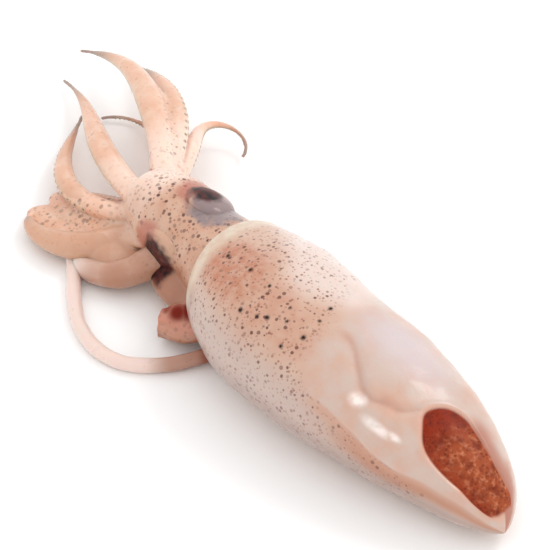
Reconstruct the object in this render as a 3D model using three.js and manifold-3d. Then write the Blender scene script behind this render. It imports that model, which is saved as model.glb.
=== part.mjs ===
// A whole raw squid lying on its belly, modelled as the one piece of flesh that it is.
//
// Units are millimetres and +Z is up. The head points to -X and the tail to +X, the left side of the
// animal is -Y. The origin is the middle of the small flat spot that the belly rests on.
//
// The mantle is a slumped tube whose open front is a collar round the neck. Both tail fins lie
// folded up over the back and leave an oval of the back bare at the tail. The head carries two eyes, a
// short funnel, eight tapering arms and two long tentacles. All of it is fused to a single solid.

import * as THREE from 'three';
import { mergeVertices } from 'three/addons/utils/BufferGeometryUtils.js';
import Module from 'manifold-3d';

const wasm = await Module();
wasm.setup();

// ---------------------------------------------------------------- driving dimensions

const MANTLE_LENGTH = 99;       // collar to tail tip
const COLLAR_X = -40;           // plane of the collar
const MANTLE_HALF_WIDTH = 19.9; // at the widest station
const SLUMP = 0.795;            // height of a section over its width
const WIDEST = 0.2;             // station of the widest section, as a share of the length
const COLLAR_SHARE = 0.755;     // half width at the collar over the widest one
const SHOULDER = 1.3;           // how soon the front half swells to its full width
const TAIL_BULGE = 2.05;        // how long the tail half stays full before it tapers
const TAIL_BLUNT = 0.58;        // how blunt the tail tip is
const TAIL_RISE = 1.6;          // the belly lifts this far off the floor towards the tail tip
const BELLY_SINK = 0.8;         // how far the round belly is pressed flat
const SINK_SPAN = 1.1;          // the flat of the belly is the mantle's length over this
const SIDE_BOW = 7.2;           // how far the limp body bows to its left
const TAIL_DRIFT = 2.1;         // how far the tail tip ends to the left
const NOSE_UP = 1;              // the collar stands this far clear of the floor

// The squid is laid out from the middle of its collar and then moved, so that this point, the middle
// of the flat spot under the belly, is the origin.
const REST_SPOT = new THREE.Vector3(0, -4.6, 0);

const RIM_THICKNESS = 2.2;      // wall of the mantle at the collar
const SLEEVE_DEPTH = 5.5;       // open depth between collar and neck
const SLEEVE_CORNER = 1.2;      // radius in the bottom of that sleeve
const LOBE_REACH = 3.2;         // the collar's middle lobe runs forward over the neck
const LOBE_LEAN = -14;          // degrees that this lobe leans to the left
const LOBE_NARROW = 6;          // the larger, the narrower the lobe
const LOBE_FADE = 0.2;          // share of the length over which the collar's slant dies away
const COLLAR_SLANT = 2.6;       // the left edge of the collar lies this far behind the right one

const FIN_THICKNESS = 1.2;
const FIN_BED = 1;              // depth to which a fin is bedded in the back
const FIN_FRONT_SHARE = 0.12;   // thickness at the front edge over the full one
const FIN_FRONT_REACH = 0.16;   // share of the fin's length over which its front rises
const FIN_REAR_SHARE = 0.55;    // thickness at the tail over the full one
const FIN_LIP_SHARE = 0.5;      // thickness at the free edge over the full one
const FIN_LIP_REACH = 0.12;     // share of the fin's width over which it thins to that edge
const FOLD_SWELL = 0.5;         // extra thickness along the fold of a fin
const FOLD_REACH = 0.16;        // share of the fin's width that the swelling takes

const HEAD_CENTRE = new THREE.Vector3(-58.2, 1.6, 12.4);
const HEAD_ROLL = -31;          // degrees, the top of the head leans to the left
const HEAD_HALF_WIDTH = 10.4;
const HEAD_HEIGHT_SHARE = 0.86;
const NECK_RADIUS = 11.2;
const NECK_BACK = 24.5;         // from the eyes back to the root inside the sleeve
const NECK_RISE = 0.4;          // the root lies this much higher than the eyes
const CROWN_FRONT = 17.5;       // from the eyes forward to the middle of the arm crown

// Radius of head and neck by the share of the way from the root to the crown.
const HEAD_PROFILE = [
  [NECK_RADIUS, 0], [NECK_RADIUS, 0.18], [10.2, 0.42], [HEAD_HALF_WIDTH, 0.63], [9, 0.8], [6.8, 0.93], [0, 1],
];

const EYE_BEARING = 82;         // degrees from the top of the head
const EYE_RADIUS = 5.4;
const EYE_OUT = 9.1;            // eye centre from the middle of the head
const EYE_BACK = 1.6;           // eye centre behind the middle of the head
const EYE_FLAT = 0.66;
const EYE_LONG = 1.15;

const CROWN = new THREE.Vector3(-70, 2.5, 11.6);
const CROWN_RING = 4.6;         // radius of the ring on which the arms are rooted
const CROWN_ROLL = 10;          // degrees, the ring of arms leans to the right
const ARM_FLATTEN = 0.8;
const ARM_ROOT_SHARE = 0.66;    // radius at the crown over the full one
const ARM_SWELL = 0.55;         // share of the length over which an arm swells to its full radius
const ARM_TIP_RADIUS = 0.4;

const STALK_RADIUS = 1.75;
const CLUB_SHARE = 0.24;        // share of the tentacle's length that its club takes
const TAPER_SHARE = 0.14;       // share of the length over which the club's tip tapers
const CLUB_TIP_SHARE = 0.25;    // radius of the club's tip over that of the stalk
const CLUB_FULLNESS = 0.8;      // the smaller, the blunter the ends of the club
const ROOT_SHRINK = 0.7;        // the larger, the sooner the fleshy root thins out

const FUNNEL_ROUTE = [[-34, -8, 6.5], [-39.5, -15, 5], [-46, -18.2, 4.3]];
const FUNNEL_ROOT_RADIUS = 5;
const FUNNEL_MOUTH_RADIUS = 3.9;
const FUNNEL_FLATTEN = 0.9;
const FUNNEL_WALL = 0.9;
const FUNNEL_BORE_FROM = 0.72;  // share of the route at which the bore starts
const FUNNEL_BORE_START = 0.9;  // radius of the bore there

// Fleshy ovals that fill out the underside: the throat between the eyes and the funnel, and the chin
// under the roots of the left arms.
const THROAT = { centre: [-47.5, -5.5, 5.4], radii: [12, 7.6, 5] };
const CHIN = { centre: [-68, -11.5, 4.6], radii: [9.5, 6.2, 3.8] };

// Webs of skin between the left side's third and fourth arms: one reaches up to the bend of the third
// arm, the other fills the bend of the fourth.
const WEBS = [
  { thickness: 4, halfWidth: 7.5, full: 2.8, route: [[-63, -1, 9.5], [-76, -6, 6.5], [-95, -8.5, 2.4]] },
  { thickness: 3, halfWidth: 6.5, full: 3.5, route: [[-68, -6, 6], [-80, -11, 4], [-94.5, -16, 2.2]] },
];

const FLESH_COLOUR = 0xd9a88e;
const FLESH_ROUGHNESS = 0.35;

// Each arm:
//   bearing       its place on the crown, in degrees from the top of the head, left is negative
//   aim, bend     the way it sets off, in degrees from straight ahead, and its turn along its length
//   hook, from    how much its end hooks on top of that, and the share of the length where that starts
//   length, radius, full    its size, and how far along it stays full before it tapers
//   rest, lift    the height of its end above the floor, and the extra height of its middle
const ARMS = {
  leftFirst: {
    bearing: 20, aim: 39, bend: -26, hook: -32, from: 0.54,
    length: 65, radius: 3.8, full: 2.6, rest: 3.5, lift: 8,
  },
  rightFirst: {
    bearing: 40, aim: 53, bend: -39, hook: -12, from: 0.51,
    length: 55, radius: 3.1, full: 3, rest: 4, lift: 6,
  },
  rightSecond: {
    bearing: 68, aim: 63, bend: -30, hook: 229, from: 0.43,
    length: 42, radius: 3.4, full: 1, rest: 2, lift: 6,
  },
  leftSecond: {
    bearing: -68, aim: 7, bend: 43, hook: -43, from: 0.46,
    length: 59, radius: 5, full: 1.1, rest: 1.5, lift: 5,
  },
  leftThird: {
    bearing: -112, aim: -47, bend: 160, hook: -62, from: 0.39,
    length: 53, radius: 3.8, full: 1.5, rest: 2, lift: 2.5,
  },
  leftFourth: {
    bearing: -158, aim: -107, bend: 150, hook: 113, from: 0.75,
    length: 41, radius: 4.6, full: 2.2, rest: 2.8, lift: 1,
  },
  rightThird: {
    bearing: 112, aim: 60, bend: -46, hook: 2, from: 0.35,
    length: 44, radius: 2.6, full: 1.3, rest: 1.6, lift: 0,
  },
  rightFourth: {
    bearing: 158, aim: 58, bend: -57, hook: -72, from: 0.52,
    length: 49, radius: 2.6, full: 1.2, rest: 1.5, lift: 0,
  },
};

// Routes of the two tentacles, from the root beside the mouth to the end of the club. The left one
// doubles back in a wide loop on the floor and tucks in under the body, the right one lies along it.
const LEFT_TENTACLE = {
  root: 3.9,
  thinFrom: 0.26,
  club: 0,
  route: [
    [-57, -6, 8], [-62, -15.5, 4.8], [-69.5, -18.5, 3], [-75.5, -17.5, 2.2], [-72, -20.5, 1.7],
    [-64.5, -26.5, 1.7], [-57, -31, 1.7], [-48.6, -33, 1.7], [-40.8, -31.2, 1.7], [-34, -24, 1.8],
    [-29.5, -14, 2.4],
  ],
};
const RIGHT_TENTACLE = {
  root: 2.8,
  thinFrom: 0.16,
  club: 1.5,
  route: [
    [-62, 6, 8], [-66, 12.5, 4], [-59, 15.5, 2], [-46, 17.5, 1.4], [-32, 19.5, 1.4], [-16, 21, 1.4],
    [0, 20.5, 1.5], [15, 17.5, 1.7],
  ],
};

// A fin from its fold over the flank to its free edge on the back, at stations along the mantle.
// Their free edges meet in a valley along the back and part round the bare oval at the tail.
const LEFT_FIN = {
  front: [0.48, 0.405],
  stations: [0.405, 0.5, 0.56, 0.61, 0.66, 0.71, 0.737, 0.765, 0.8, 0.85, 0.89, 0.94, 0.985],
  fold: [-62, -57, -57, -60, -64, -69, -71, -71, -68, -64, -62, -60, -66],
  free: [-14, -5, -20, -30, -28, -21, -6, -19, -34, -38, -45, -48, -56],
};
const RIGHT_FIN = {
  front: [0.3, 0.405],
  stations: [0.405, 0.5, 0.56, 0.61, 0.66, 0.71, 0.735, 0.765, 0.8, 0.85, 0.89, 0.92, 0.95, 0.985],
  fold: [92, 96, 98, 98, 98, 98, 98, 98, 98, 98, 98, 98, 98, 96],
  free: [-12, -3, -18, -28, -26, -19, 2, 20, 29, 33, 31, 36, 60, 76],
};

// Facets.
const MERGE_WITHIN = 1e-4;
const ROUND_MANTLE = 46;
const STEPS_MANTLE = 30;
const STEPS_CROWDING = 1.25;    // the larger, the closer the rings of the mantle lie near the tail
const STEPS_RIM = 4;
const ROUND_HEAD = 26;
const STEPS_HEAD = 18;
const ROUND_EYE = 16;
const STEPS_EYE = 12;
const ROUND_OVAL = 18;
const STEPS_OVAL = 12;
const ROUND_ARM = 8;
const STEPS_ARM = 14;
const STEPS_ARM_PATH = 24;
const ROUND_STALK = 8;
const STEPS_STALK = 30;
const ROUND_FUNNEL = 16;
const STEPS_FUNNEL = 6;
const ROUND_WEB = 14;
const STEPS_WEB = 10;
const FIN_ACROSS = 10;
const FIN_ALONG = 22;

// ---------------------------------------------------------------- helpers

const rad = THREE.MathUtils.degToRad;
const { clamp, lerp, smoothstep } = THREE.MathUtils;
const UP = new THREE.Vector3(0, 0, 1);

/** A point from its three coordinates. */
const spotAt = (coordinates) => new THREE.Vector3(...coordinates);

/** Value at x of the smooth line through the points (xs[i], ys[i]). */
function between(xs, ys, x) {
  return new THREE.CubicInterpolant(xs, ys, 1).evaluate(x)[0];
}

/** Moves every vertex of a geometry to where place(vertex) puts it. */
function reshape(geometry, place) {
  const spots = geometry.getAttribute('position');
  const spot = new THREE.Vector3();
  for (let i = 0; i < spots.count; i += 1) {
    spot.fromBufferAttribute(spots, i);
    const moved = place(spot);
    spots.setXYZ(i, moved.x, moved.y, moved.z);
  }
  return geometry;
}

/** A closed three.js geometry as a solid that can be joined and cut. */
function solid(geometry) {
  geometry.deleteAttribute('normal');
  geometry.deleteAttribute('uv');
  const merged = mergeVertices(geometry, MERGE_WITHIN);
  const made = new wasm.Manifold(new wasm.Mesh({
    numProp: 3,
    vertProperties: new Float32Array(merged.getAttribute('position').array),
    triVerts: new Uint32Array(merged.getIndex().array),
  }));
  if (made.volume() < 0) throw new Error('a piece of the squid is inside out');
  return made;
}

/** A joined solid back as a three.js geometry, with the resting spot at the origin. */
function geometryOf(manifold) {
  const mesh = manifold.getMesh();
  const geometry = new THREE.BufferGeometry();
  geometry.setAttribute('position', new THREE.BufferAttribute(new Float32Array(mesh.vertProperties), 3));
  geometry.setIndex(new THREE.BufferAttribute(new Uint32Array(mesh.triVerts), 1));
  geometry.translate(-REST_SPOT.x, -REST_SPOT.y, -REST_SPOT.z);
  geometry.computeVertexNormals();
  return geometry;
}

/** A tapering limb: a turned profile whose axis is laid along a path. */
function limb(path, radius, steps, sides, flatten) {
  const profile = [new THREE.Vector2(0, 0)];
  for (let i = 0; i <= steps; i += 1) {
    profile.push(new THREE.Vector2(1, i / steps));
  }
  profile.push(new THREE.Vector2(0, 1));
  const geometry = new THREE.LatheGeometry(profile, sides);
  return solid(reshape(geometry, (spot) => {
    const t = clamp(spot.y, 0, 1);
    const along = path.getTangent(t);
    const side = new THREE.Vector3().crossVectors(UP, along).normalize();
    const over = new THREE.Vector3().crossVectors(along, side);
    return path.getPoint(t)
      .addScaledVector(side, spot.x * radius(t))
      .addScaledVector(over, -spot.z * radius(t) * flatten);
  }));
}

/** An oval lump of flesh. */
function oval({ centre, radii }) {
  const geometry = new THREE.SphereGeometry(1, ROUND_OVAL, STEPS_OVAL);
  return solid(reshape(geometry, (spot) => spot.clone().multiply(spotAt(radii)).add(spotAt(centre))));
}

// ---------------------------------------------------------------- mantle and fins

/** Half width of the mantle at a station, 0 at the collar and 1 at the tail tip. */
function halfWidth(s) {
  if (s < WIDEST) {
    const back = (WIDEST - s) / WIDEST;
    return MANTLE_HALF_WIDTH * (1 - (1 - COLLAR_SHARE) * back ** SHOULDER);
  }
  const on = (s - WIDEST) / (1 - WIDEST);
  return MANTLE_HALF_WIDTH * Math.max(0, 1 - on ** TAIL_BULGE) ** TAIL_BLUNT;
}

/** Middle of the section of the mantle at a station. */
function mantleAxis(s) {
  const height = halfWidth(s) * SLUMP - BELLY_SINK * Math.sin(Math.PI * clamp(s * SINK_SPAN, 0, 1));
  const tailUp = TAIL_RISE * s ** 3;
  const noseUp = NOSE_UP * Math.max(0, 1 - s / WIDEST) ** 2;
  return new THREE.Vector3(
    COLLAR_X + MANTLE_LENGTH * s,
    -SIDE_BOW * Math.sin(Math.PI * s) * (1 - s) - TAIL_DRIFT * s ** 4,
    height + tailUp + noseUp,
  );
}

/** How far the collar's edge lies ahead of its plane at an angle round the body. */
function collarLobe(angle) {
  const fromBack = Math.cos(rad(angle - LOBE_LEAN) / 2);
  const leftward = (1 - Math.sin(rad(angle))) / 2;
  return LOBE_REACH * fromBack ** LOBE_NARROW - COLLAR_SLANT * leftward;
}

/** A point of the mantle: station, angle in degrees from the top towards the right, radius there. */
function mantlePoint(s, angle, radius) {
  const axis = mantleAxis(s);
  const ahead = collarLobe(angle) * Math.max(0, 1 - s / LOBE_FADE) ** 2;
  return new THREE.Vector3(
    axis.x - ahead,
    axis.y + radius * Math.sin(rad(angle)),
    axis.z + radius * SLUMP * Math.cos(rad(angle)),
  );
}

/** The mantle: outer skin, round rim, and the short sleeve that is open round the neck. */
function mantle() {
  const collar = halfWidth(0);
  const inner = collar - RIM_THICKNESS;
  const rim = RIM_THICKNESS / 2;
  const profile = [
    new THREE.Vector2(0, SLEEVE_DEPTH),
    new THREE.Vector2(inner - SLEEVE_CORNER, SLEEVE_DEPTH),
    new THREE.Vector2(inner, SLEEVE_DEPTH - SLEEVE_CORNER),
  ];
  for (let i = 0; i <= STEPS_RIM; i += 1) {
    const turn = Math.PI * (1 - i / STEPS_RIM);
    profile.push(new THREE.Vector2(collar - rim + rim * Math.cos(turn), rim - rim * Math.sin(turn)));
  }
  for (let i = 1; i < STEPS_MANTLE; i += 1) {
    const s = 1 - (1 - i / STEPS_MANTLE) ** STEPS_CROWDING * (1 - rim / MANTLE_LENGTH);
    profile.push(new THREE.Vector2(halfWidth(s), s * MANTLE_LENGTH));
  }
  profile.push(new THREE.Vector2(0, MANTLE_LENGTH));
  const geometry = new THREE.LatheGeometry(profile, ROUND_MANTLE);
  return solid(reshape(geometry, (spot) => {
    const radius = Math.hypot(spot.x, spot.z);
    const angle = THREE.MathUtils.radToDeg(Math.atan2(spot.x, spot.z));
    return mantlePoint(spot.y / MANTLE_LENGTH, -angle, radius);
  }));
}

/** Thickness of a fin: swollen along its fold, thin at its free edge, its front and its rear. */
function finHeight(along, inward) {
  const ridge = Math.exp(-((inward / FOLD_REACH) ** 2)) * Math.sqrt(Math.sin(Math.PI * clamp(along, 0, 1)));
  const lip = lerp(FIN_LIP_SHARE, 1, smoothstep(1 - inward, 0, FIN_LIP_REACH));
  const front = lerp(FIN_FRONT_SHARE, 1, smoothstep(along, 0, FIN_FRONT_REACH));
  const rear = lerp(1, FIN_REAR_SHARE, along ** 3);
  return (FIN_THICKNESS * lip + FOLD_SWELL * ridge) * front * rear;
}

/** A fin folded over the back: a sheet from its fold on the flank to its free edge. */
function fin({ front, stations, fold, free }) {
  const geometry = new THREE.BoxGeometry(1, 1, 1, FIN_ACROSS, FIN_ALONG, 1);
  const rear = stations[stations.length - 1];
  const made = reshape(geometry, (spot) => {
    const inward = spot.x + 0.5;
    const along = spot.y + 0.5;
    const s = lerp(lerp(front[0], front[1], Math.sin(inward * Math.PI / 2)), rear, along);
    const angle = lerp(between(stations, fold, s), between(stations, free, s), inward);
    const height = spot.z > 0 ? finHeight(along, inward) : -FIN_BED;
    return mantlePoint(s, angle, Math.max(FIN_BED / 2, halfWidth(s) + height));
  });
  const leftward = fold[0] < free[0];
  return solid(leftward ? flipped(made) : made);
}

/** The same closed geometry with its faces turned over. */
function flipped(geometry) {
  const faces = geometry.getIndex();
  for (let i = 0; i < faces.count; i += 3) {
    const first = faces.getX(i);
    faces.setX(i, faces.getX(i + 1));
    faces.setX(i + 1, first);
  }
  return geometry;
}

// ---------------------------------------------------------------- head

/** A direction across the body: degrees from straight up, left is negative. */
function across(bearing) {
  return new THREE.Vector3(0, Math.sin(rad(bearing)), Math.cos(rad(bearing)));
}

/** The head and neck, from the root inside the sleeve to the crown of the arms. */
function head() {
  const curve = new THREE.SplineCurve(HEAD_PROFILE.map((point) => new THREE.Vector2(...point)));
  const profile = [new THREE.Vector2(0, 0)];
  for (let i = 0; i < STEPS_HEAD; i += 1) {
    profile.push(curve.getPoint(i / STEPS_HEAD));
  }
  profile.push(new THREE.Vector2(0, 1));
  const lengthwise = NECK_BACK + CROWN_FRONT;
  const side = across(90 + HEAD_ROLL);
  const top = across(HEAD_ROLL);
  const geometry = new THREE.LatheGeometry(profile, ROUND_HEAD);
  return solid(reshape(geometry, (spot) => {
    const middle = new THREE.Vector3(HEAD_CENTRE.x + NECK_BACK - lengthwise * spot.y, 0, 0);
    const towardCollar = clamp((middle.x - HEAD_CENTRE.x) / NECK_BACK, 0, 1);
    middle.y = lerp(HEAD_CENTRE.y, 0, towardCollar);
    middle.z = HEAD_CENTRE.z + NECK_RISE * towardCollar;
    return middle
      .addScaledVector(side, spot.x)
      .addScaledVector(top, spot.z * HEAD_HEIGHT_SHARE);
  }));
}

/** One eye: a low dome on the side of the head. */
function eye(bearing) {
  const out = across(bearing + HEAD_ROLL);
  const up = across(bearing + HEAD_ROLL - 90 * Math.sign(bearing));
  const middle = HEAD_CENTRE.clone().addScaledVector(out, EYE_OUT);
  const geometry = new THREE.SphereGeometry(EYE_RADIUS, ROUND_EYE, STEPS_EYE);
  return solid(reshape(geometry, (spot) => middle.clone()
    .addScaledVector(out, spot.y * EYE_FLAT)
    .addScaledVector(up, spot.x * Math.sign(bearing))
    .add(new THREE.Vector3(EYE_BACK - spot.z * EYE_LONG, 0, 0))));
}

/** The funnel: a short open tube that leans out of the collar on the left. */
function funnel() {
  const path = new THREE.QuadraticBezierCurve3(...FUNNEL_ROUTE.map(spotAt));
  const outer = (t) => lerp(FUNNEL_ROOT_RADIUS, FUNNEL_MOUTH_RADIUS, t);
  const inner = (t) => lerp(FUNNEL_BORE_START, FUNNEL_MOUTH_RADIUS - FUNNEL_WALL, Math.sqrt(t));
  const tube = limb(path, outer, STEPS_FUNNEL, ROUND_FUNNEL, FUNNEL_FLATTEN);
  const past = path.getPoint(1).addScaledVector(path.getTangent(1), FUNNEL_WALL);
  const bore = new THREE.LineCurve3(path.getPoint(FUNNEL_BORE_FROM), past);
  return tube.subtract(limb(bore, inner, STEPS_FUNNEL, ROUND_FUNNEL, FUNNEL_FLATTEN));
}

// ---------------------------------------------------------------- arms and tentacles

/** A web: a flat tongue of skin that joins the bases of two arms. */
function web({ thickness, halfWidth: reach, full, route }) {
  const path = new THREE.QuadraticBezierCurve3(...route.map(spotAt));
  const radius = (t) => Math.max(ARM_TIP_RADIUS, reach * Math.sqrt(1 - t ** full));
  return limb(path, radius, STEPS_WEB, ROUND_WEB, thickness / reach / 2);
}

/** Centre line of an arm, laid down step by step from the crown. */
function armPath({ bearing, aim, bend, hook, from, length, rest, lift }) {
  const root = CROWN.clone().addScaledVector(across(bearing + CROWN_ROLL), CROWN_RING);
  const points = [root];
  const steps = STEPS_ARM_PATH;
  let { x, y } = root;
  for (let i = 0; i < steps; i += 1) {
    const middle = (i + 0.5) / steps;
    const hooked = Math.max(0, (middle - from) / (1 - from)) ** 2;
    const heading = rad(aim + bend * middle + hook * hooked);
    x -= Math.cos(heading) * length / steps;
    y += Math.sin(heading) * length / steps;
    const t = (i + 1) / steps;
    const z = rest + (root.z - rest) * (1 - t) ** 2 + lift * Math.sin(Math.PI * t);
    points.push(new THREE.Vector3(x, y, z));
  }
  return new THREE.CatmullRomCurve3(points);
}

/** One arm, which swells from its root and is then drawn out to a thin tip. */
function arm(shape) {
  const radius = (t) => {
    const swell = lerp(ARM_ROOT_SHARE, 1, smoothstep(t, 0, ARM_SWELL));
    return Math.max(ARM_TIP_RADIUS, shape.radius * swell * (1 - t ** shape.full));
  };
  return limb(armPath(shape), radius, STEPS_ARM, ROUND_ARM, ARM_FLATTEN);
}

/** One tentacle: a fleshy root, an even thin stalk and, where it has one, a leaf-shaped club. */
function tentacle({ root, thinFrom, club, route }) {
  const path = new THREE.CatmullRomCurve3(route.map(spotAt), false, 'centripetal');
  const radius = (t) => {
    const fleshy = (root - STALK_RADIUS) * Math.max(0, 1 - t / thinFrom) ** ROOT_SHRINK;
    const leaf = club * Math.sin(Math.PI * clamp((t - 1 + CLUB_SHARE) / CLUB_SHARE, 0, 1)) ** CLUB_FULLNESS;
    const tip = lerp(1, CLUB_TIP_SHARE, clamp((t - 1 + TAPER_SHARE) / TAPER_SHARE, 0, 1));
    return STALK_RADIUS * (club > 0 ? tip : 1) + fleshy + leaf;
  };
  return limb(path, radius, STEPS_STALK, ROUND_STALK, 1);
}

// ---------------------------------------------------------------- the whole animal

/** Everything below the floor, to be cut away. */
function underfloor() {
  const depth = MANTLE_HALF_WIDTH;
  const reach = MANTLE_LENGTH * 4;
  const slab = new THREE.BoxGeometry(reach, reach, depth);
  slab.translate(0, 0, -depth / 2);
  return solid(slab);
}

/** All of the flesh as one solid that rests on the floor. */
function squid() {
  const pieces = [
    mantle(),
    fin(LEFT_FIN),
    fin(RIGHT_FIN),
    head(),
    eye(-EYE_BEARING),
    eye(EYE_BEARING),
    funnel(),
    oval(THROAT),
    oval(CHIN),
    ...WEBS.map(web),
    ...Object.values(ARMS).map(arm),
    tentacle(LEFT_TENTACLE),
    tentacle(RIGHT_TENTACLE),
  ];
  const fused = pieces.reduce((whole, piece) => whole.add(piece)).subtract(underfloor());
  const bodies = fused.decompose().sort((a, b) => b.volume() - a.volume());
  return bodies[0];
}

const flesh = new THREE.Mesh(
  geometryOf(squid()),
  new THREE.MeshStandardMaterial({ color: FLESH_COLOUR, roughness: FLESH_ROUGHNESS, metalness: 0 }),
);
flesh.name = 'squid';

const model = new THREE.Group();
model.add(flesh);

export default model;
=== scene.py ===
"""A whole raw squid in wet speckled skin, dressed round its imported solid.

Shapes are worked out in millimetres in the layout of the body: +X runs to the tail, -Y is the animal's
left side and +Z is up. A finished mesh is moved to the resting spot under the belly and scaled to metres.
"""
import logging
import math
from dataclasses import dataclass
from enum import Enum
from functools import reduce
from typing import Any, Sequence

import bpy
import numpy as np
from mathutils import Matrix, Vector


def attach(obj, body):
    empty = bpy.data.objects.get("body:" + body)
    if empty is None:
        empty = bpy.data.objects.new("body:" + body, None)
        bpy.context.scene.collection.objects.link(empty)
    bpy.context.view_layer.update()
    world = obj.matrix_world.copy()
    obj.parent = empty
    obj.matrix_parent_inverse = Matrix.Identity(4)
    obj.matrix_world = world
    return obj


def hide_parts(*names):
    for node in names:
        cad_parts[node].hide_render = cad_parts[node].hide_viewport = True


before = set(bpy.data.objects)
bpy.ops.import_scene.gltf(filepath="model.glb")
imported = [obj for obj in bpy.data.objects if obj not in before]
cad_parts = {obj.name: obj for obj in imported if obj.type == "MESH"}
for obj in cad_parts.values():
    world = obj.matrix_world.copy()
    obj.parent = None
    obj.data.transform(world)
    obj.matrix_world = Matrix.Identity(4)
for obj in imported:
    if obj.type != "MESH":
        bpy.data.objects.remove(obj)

Array = np.ndarray
Socket = bpy.types.NodeSocket
Colour = tuple[int, int, int]
Spot = tuple[float, float, float]

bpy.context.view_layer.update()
BODY = "root"
SOLID = "squid"
MM = 0.001
GOLDEN = 0.618
REST_SPOT = np.array((0.0, -4.6, 0.0))

log = logging.getLogger("squid")


# ------------------------------------------------------------------------------ helpers for shapes


def smooth(low: float, high: float, value: Array) -> Array:
    """A soft step from 0 at low to 1 at high.

    Args:
        low: where the step starts.
        high: where it ends; it may lie below low, and the step then falls.
        value: the numbers to judge.

    Returns:
        Numbers from 0 to 1, one for each value.
    """
    share = np.clip((value - low) / (high - low), 0.0, 1.0)
    return share * share * (3.0 - 2.0 * share)


def between(stations: Sequence[float], values: Sequence[float], at: Array) -> Array:
    """The smooth line through some stations.

    Args:
        stations: rising places.
        values: the value at each station.
        at: the places to read.

    Returns:
        The value at each place, and beyond the ends the value at the end.
    """
    known = np.asarray(stations, float)
    held = np.asarray(values, float)
    slope = np.diff(held) / np.diff(known)
    slope = np.concatenate([slope[:1], (slope[1:] + slope[:-1]) / 2.0, slope[-1:]])
    spot = np.clip(at, known[0], known[-1])
    start = np.clip(np.searchsorted(known, spot, side="right") - 1, 0, len(known) - 2)
    span = known[start + 1] - known[start]
    share = (spot - known[start]) / span
    rest = 1.0 - share
    level = held[start] * (1.0 + 2.0 * share) * rest**2 + held[start + 1] * (3.0 - 2.0 * share) * share**2
    return level + span * share * rest * (slope[start] * rest - slope[start + 1] * share)


def ripple(first: Array, second: Array, size: float, seed: float) -> Array:
    """Slow uneven waves over a surface, the same on every run.

    Args:
        first: one coordinate over the surface.
        second: the other one.
        size: rough length of a wave, in the unit of the coordinates.
        seed: shifts the pattern.

    Returns:
        Heights of about -1 to 1.
    """
    turn = 2.0 * math.pi / size
    height = np.sin(first * turn + seed + 1.3 * np.sin(second * turn * 0.61 + 2.0 * seed))
    height = height + np.sin(second * turn * 0.83 - seed + 1.1 * np.sin(first * turn * 0.47 + seed))
    return height * 0.5


@dataclass(frozen=True)
class Step:
    """A soft step from 0 at low to 1 at high; it falls where high lies below low."""

    low: float
    high: float

    def at(self, value: Array) -> Array:
        """The step at each value."""
        return smooth(self.low, self.high, value)


@dataclass(frozen=True)
class Band:
    """A soft band: it rises from the first place to the second and falls from the third to the last."""

    rise: float
    full: float
    fading: float
    gone: float

    def at(self, value: Array) -> Array:
        """The cover of the band at each value."""
        return smooth(self.rise, self.full, value) * smooth(self.gone, self.fading, value)


@dataclass(frozen=True)
class Waves:
    """Slow uneven waves: their height and length in millimetres, and a seed."""

    height: float
    size: float
    seed: float

    def at(self, first: Array, second: Array) -> Array:
        """Their rise at each place."""
        return self.height * ripple(first, second, self.size, self.seed)


def bell(offset: Array, reach: float) -> Array:
    """A soft hump that is 1 at offset 0 and gone at about twice the reach."""
    return np.exp(-((offset / reach) ** 2))


def unit(vectors: Array) -> Array:
    """The vectors at length one."""
    return vectors / np.maximum(np.linalg.norm(vectors, axis=-1, keepdims=True), 1e-9)


def turns(around: int) -> Array:
    """Even angles round a ring, in radians."""
    return np.arange(around) * 2.0 * math.pi / around


def across(bearing: float) -> Array:
    """A direction across the body: degrees from straight up, left is negative."""
    turn = math.radians(bearing)
    return np.array((0.0, math.sin(turn), math.cos(turn)))


def bend(route: Sequence[Spot], count: int) -> Array:
    """Points along a curve that leaves one spot for a second and ends at a third.

    Args:
        route: the three spots.
        count: how many points to give.

    Returns:
        The points in order.
    """
    share = np.linspace(0.0, 1.0, count)[:, None]
    first, second, third = (np.array(spot, float) for spot in route)
    return (1.0 - share) ** 2 * first + 2.0 * (1.0 - share) * share * second + share**2 * third


def catmull_rom(points: Array, count: int) -> Array:
    """A centripetal curve through points.

    Args:
        points: the places it runs through.
        count: how many places to read along it, evenly by the curve's own parameter.

    Returns:
        The places along the curve.
    """
    ends = np.concatenate([[2 * points[0] - points[1]], points, [2 * points[-1] - points[-2]]])
    at = np.linspace(0.0, len(points) - 1.0, count)
    segment = np.minimum(at.astype(int), len(points) - 2)
    share = (at - segment)[:, None]
    p0, p1, p2, p3 = (ends[segment + i] for i in range(4))
    pairs = ((p0, p1), (p1, p2), (p2, p3))
    d0, d1, d2 = (np.sqrt(np.linalg.norm(b - a, axis=1, keepdims=True)) for a, b in pairs)
    enter = ((p1 - p0) / d0 - (p2 - p0) / (d0 + d1) + (p2 - p1) / d1) * d1
    leave = ((p2 - p1) / d1 - (p3 - p1) / (d1 + d2) + (p3 - p2) / d2) * d1
    square = share * share
    cube = square * share
    ends_part = p1 * (2 * cube - 3 * square + 1) + p2 * (3 * square - 2 * cube)
    return ends_part + enter * (cube - 2 * square + share) + leave * (cube - square)


def ball(axes: Sequence[Array], rings: int, around: int) -> Array:
    """Rings of points over a ball or an egg.

    Args:
        axes: its three half axes; the rings lie round the first and start at its far end.
        rings: how many rings to give.
        around: points in each ring.

    Returns:
        Offsets from its middle, by ring and by place round the ring.
    """
    polar = np.linspace(0.0, math.pi, rings + 2)[1:-1, None, None]
    turn = turns(around)[None, :, None]
    return np.cos(polar) * axes[0] + np.sin(polar) * (np.cos(turn) * axes[1] + np.sin(turn) * axes[2])


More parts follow.
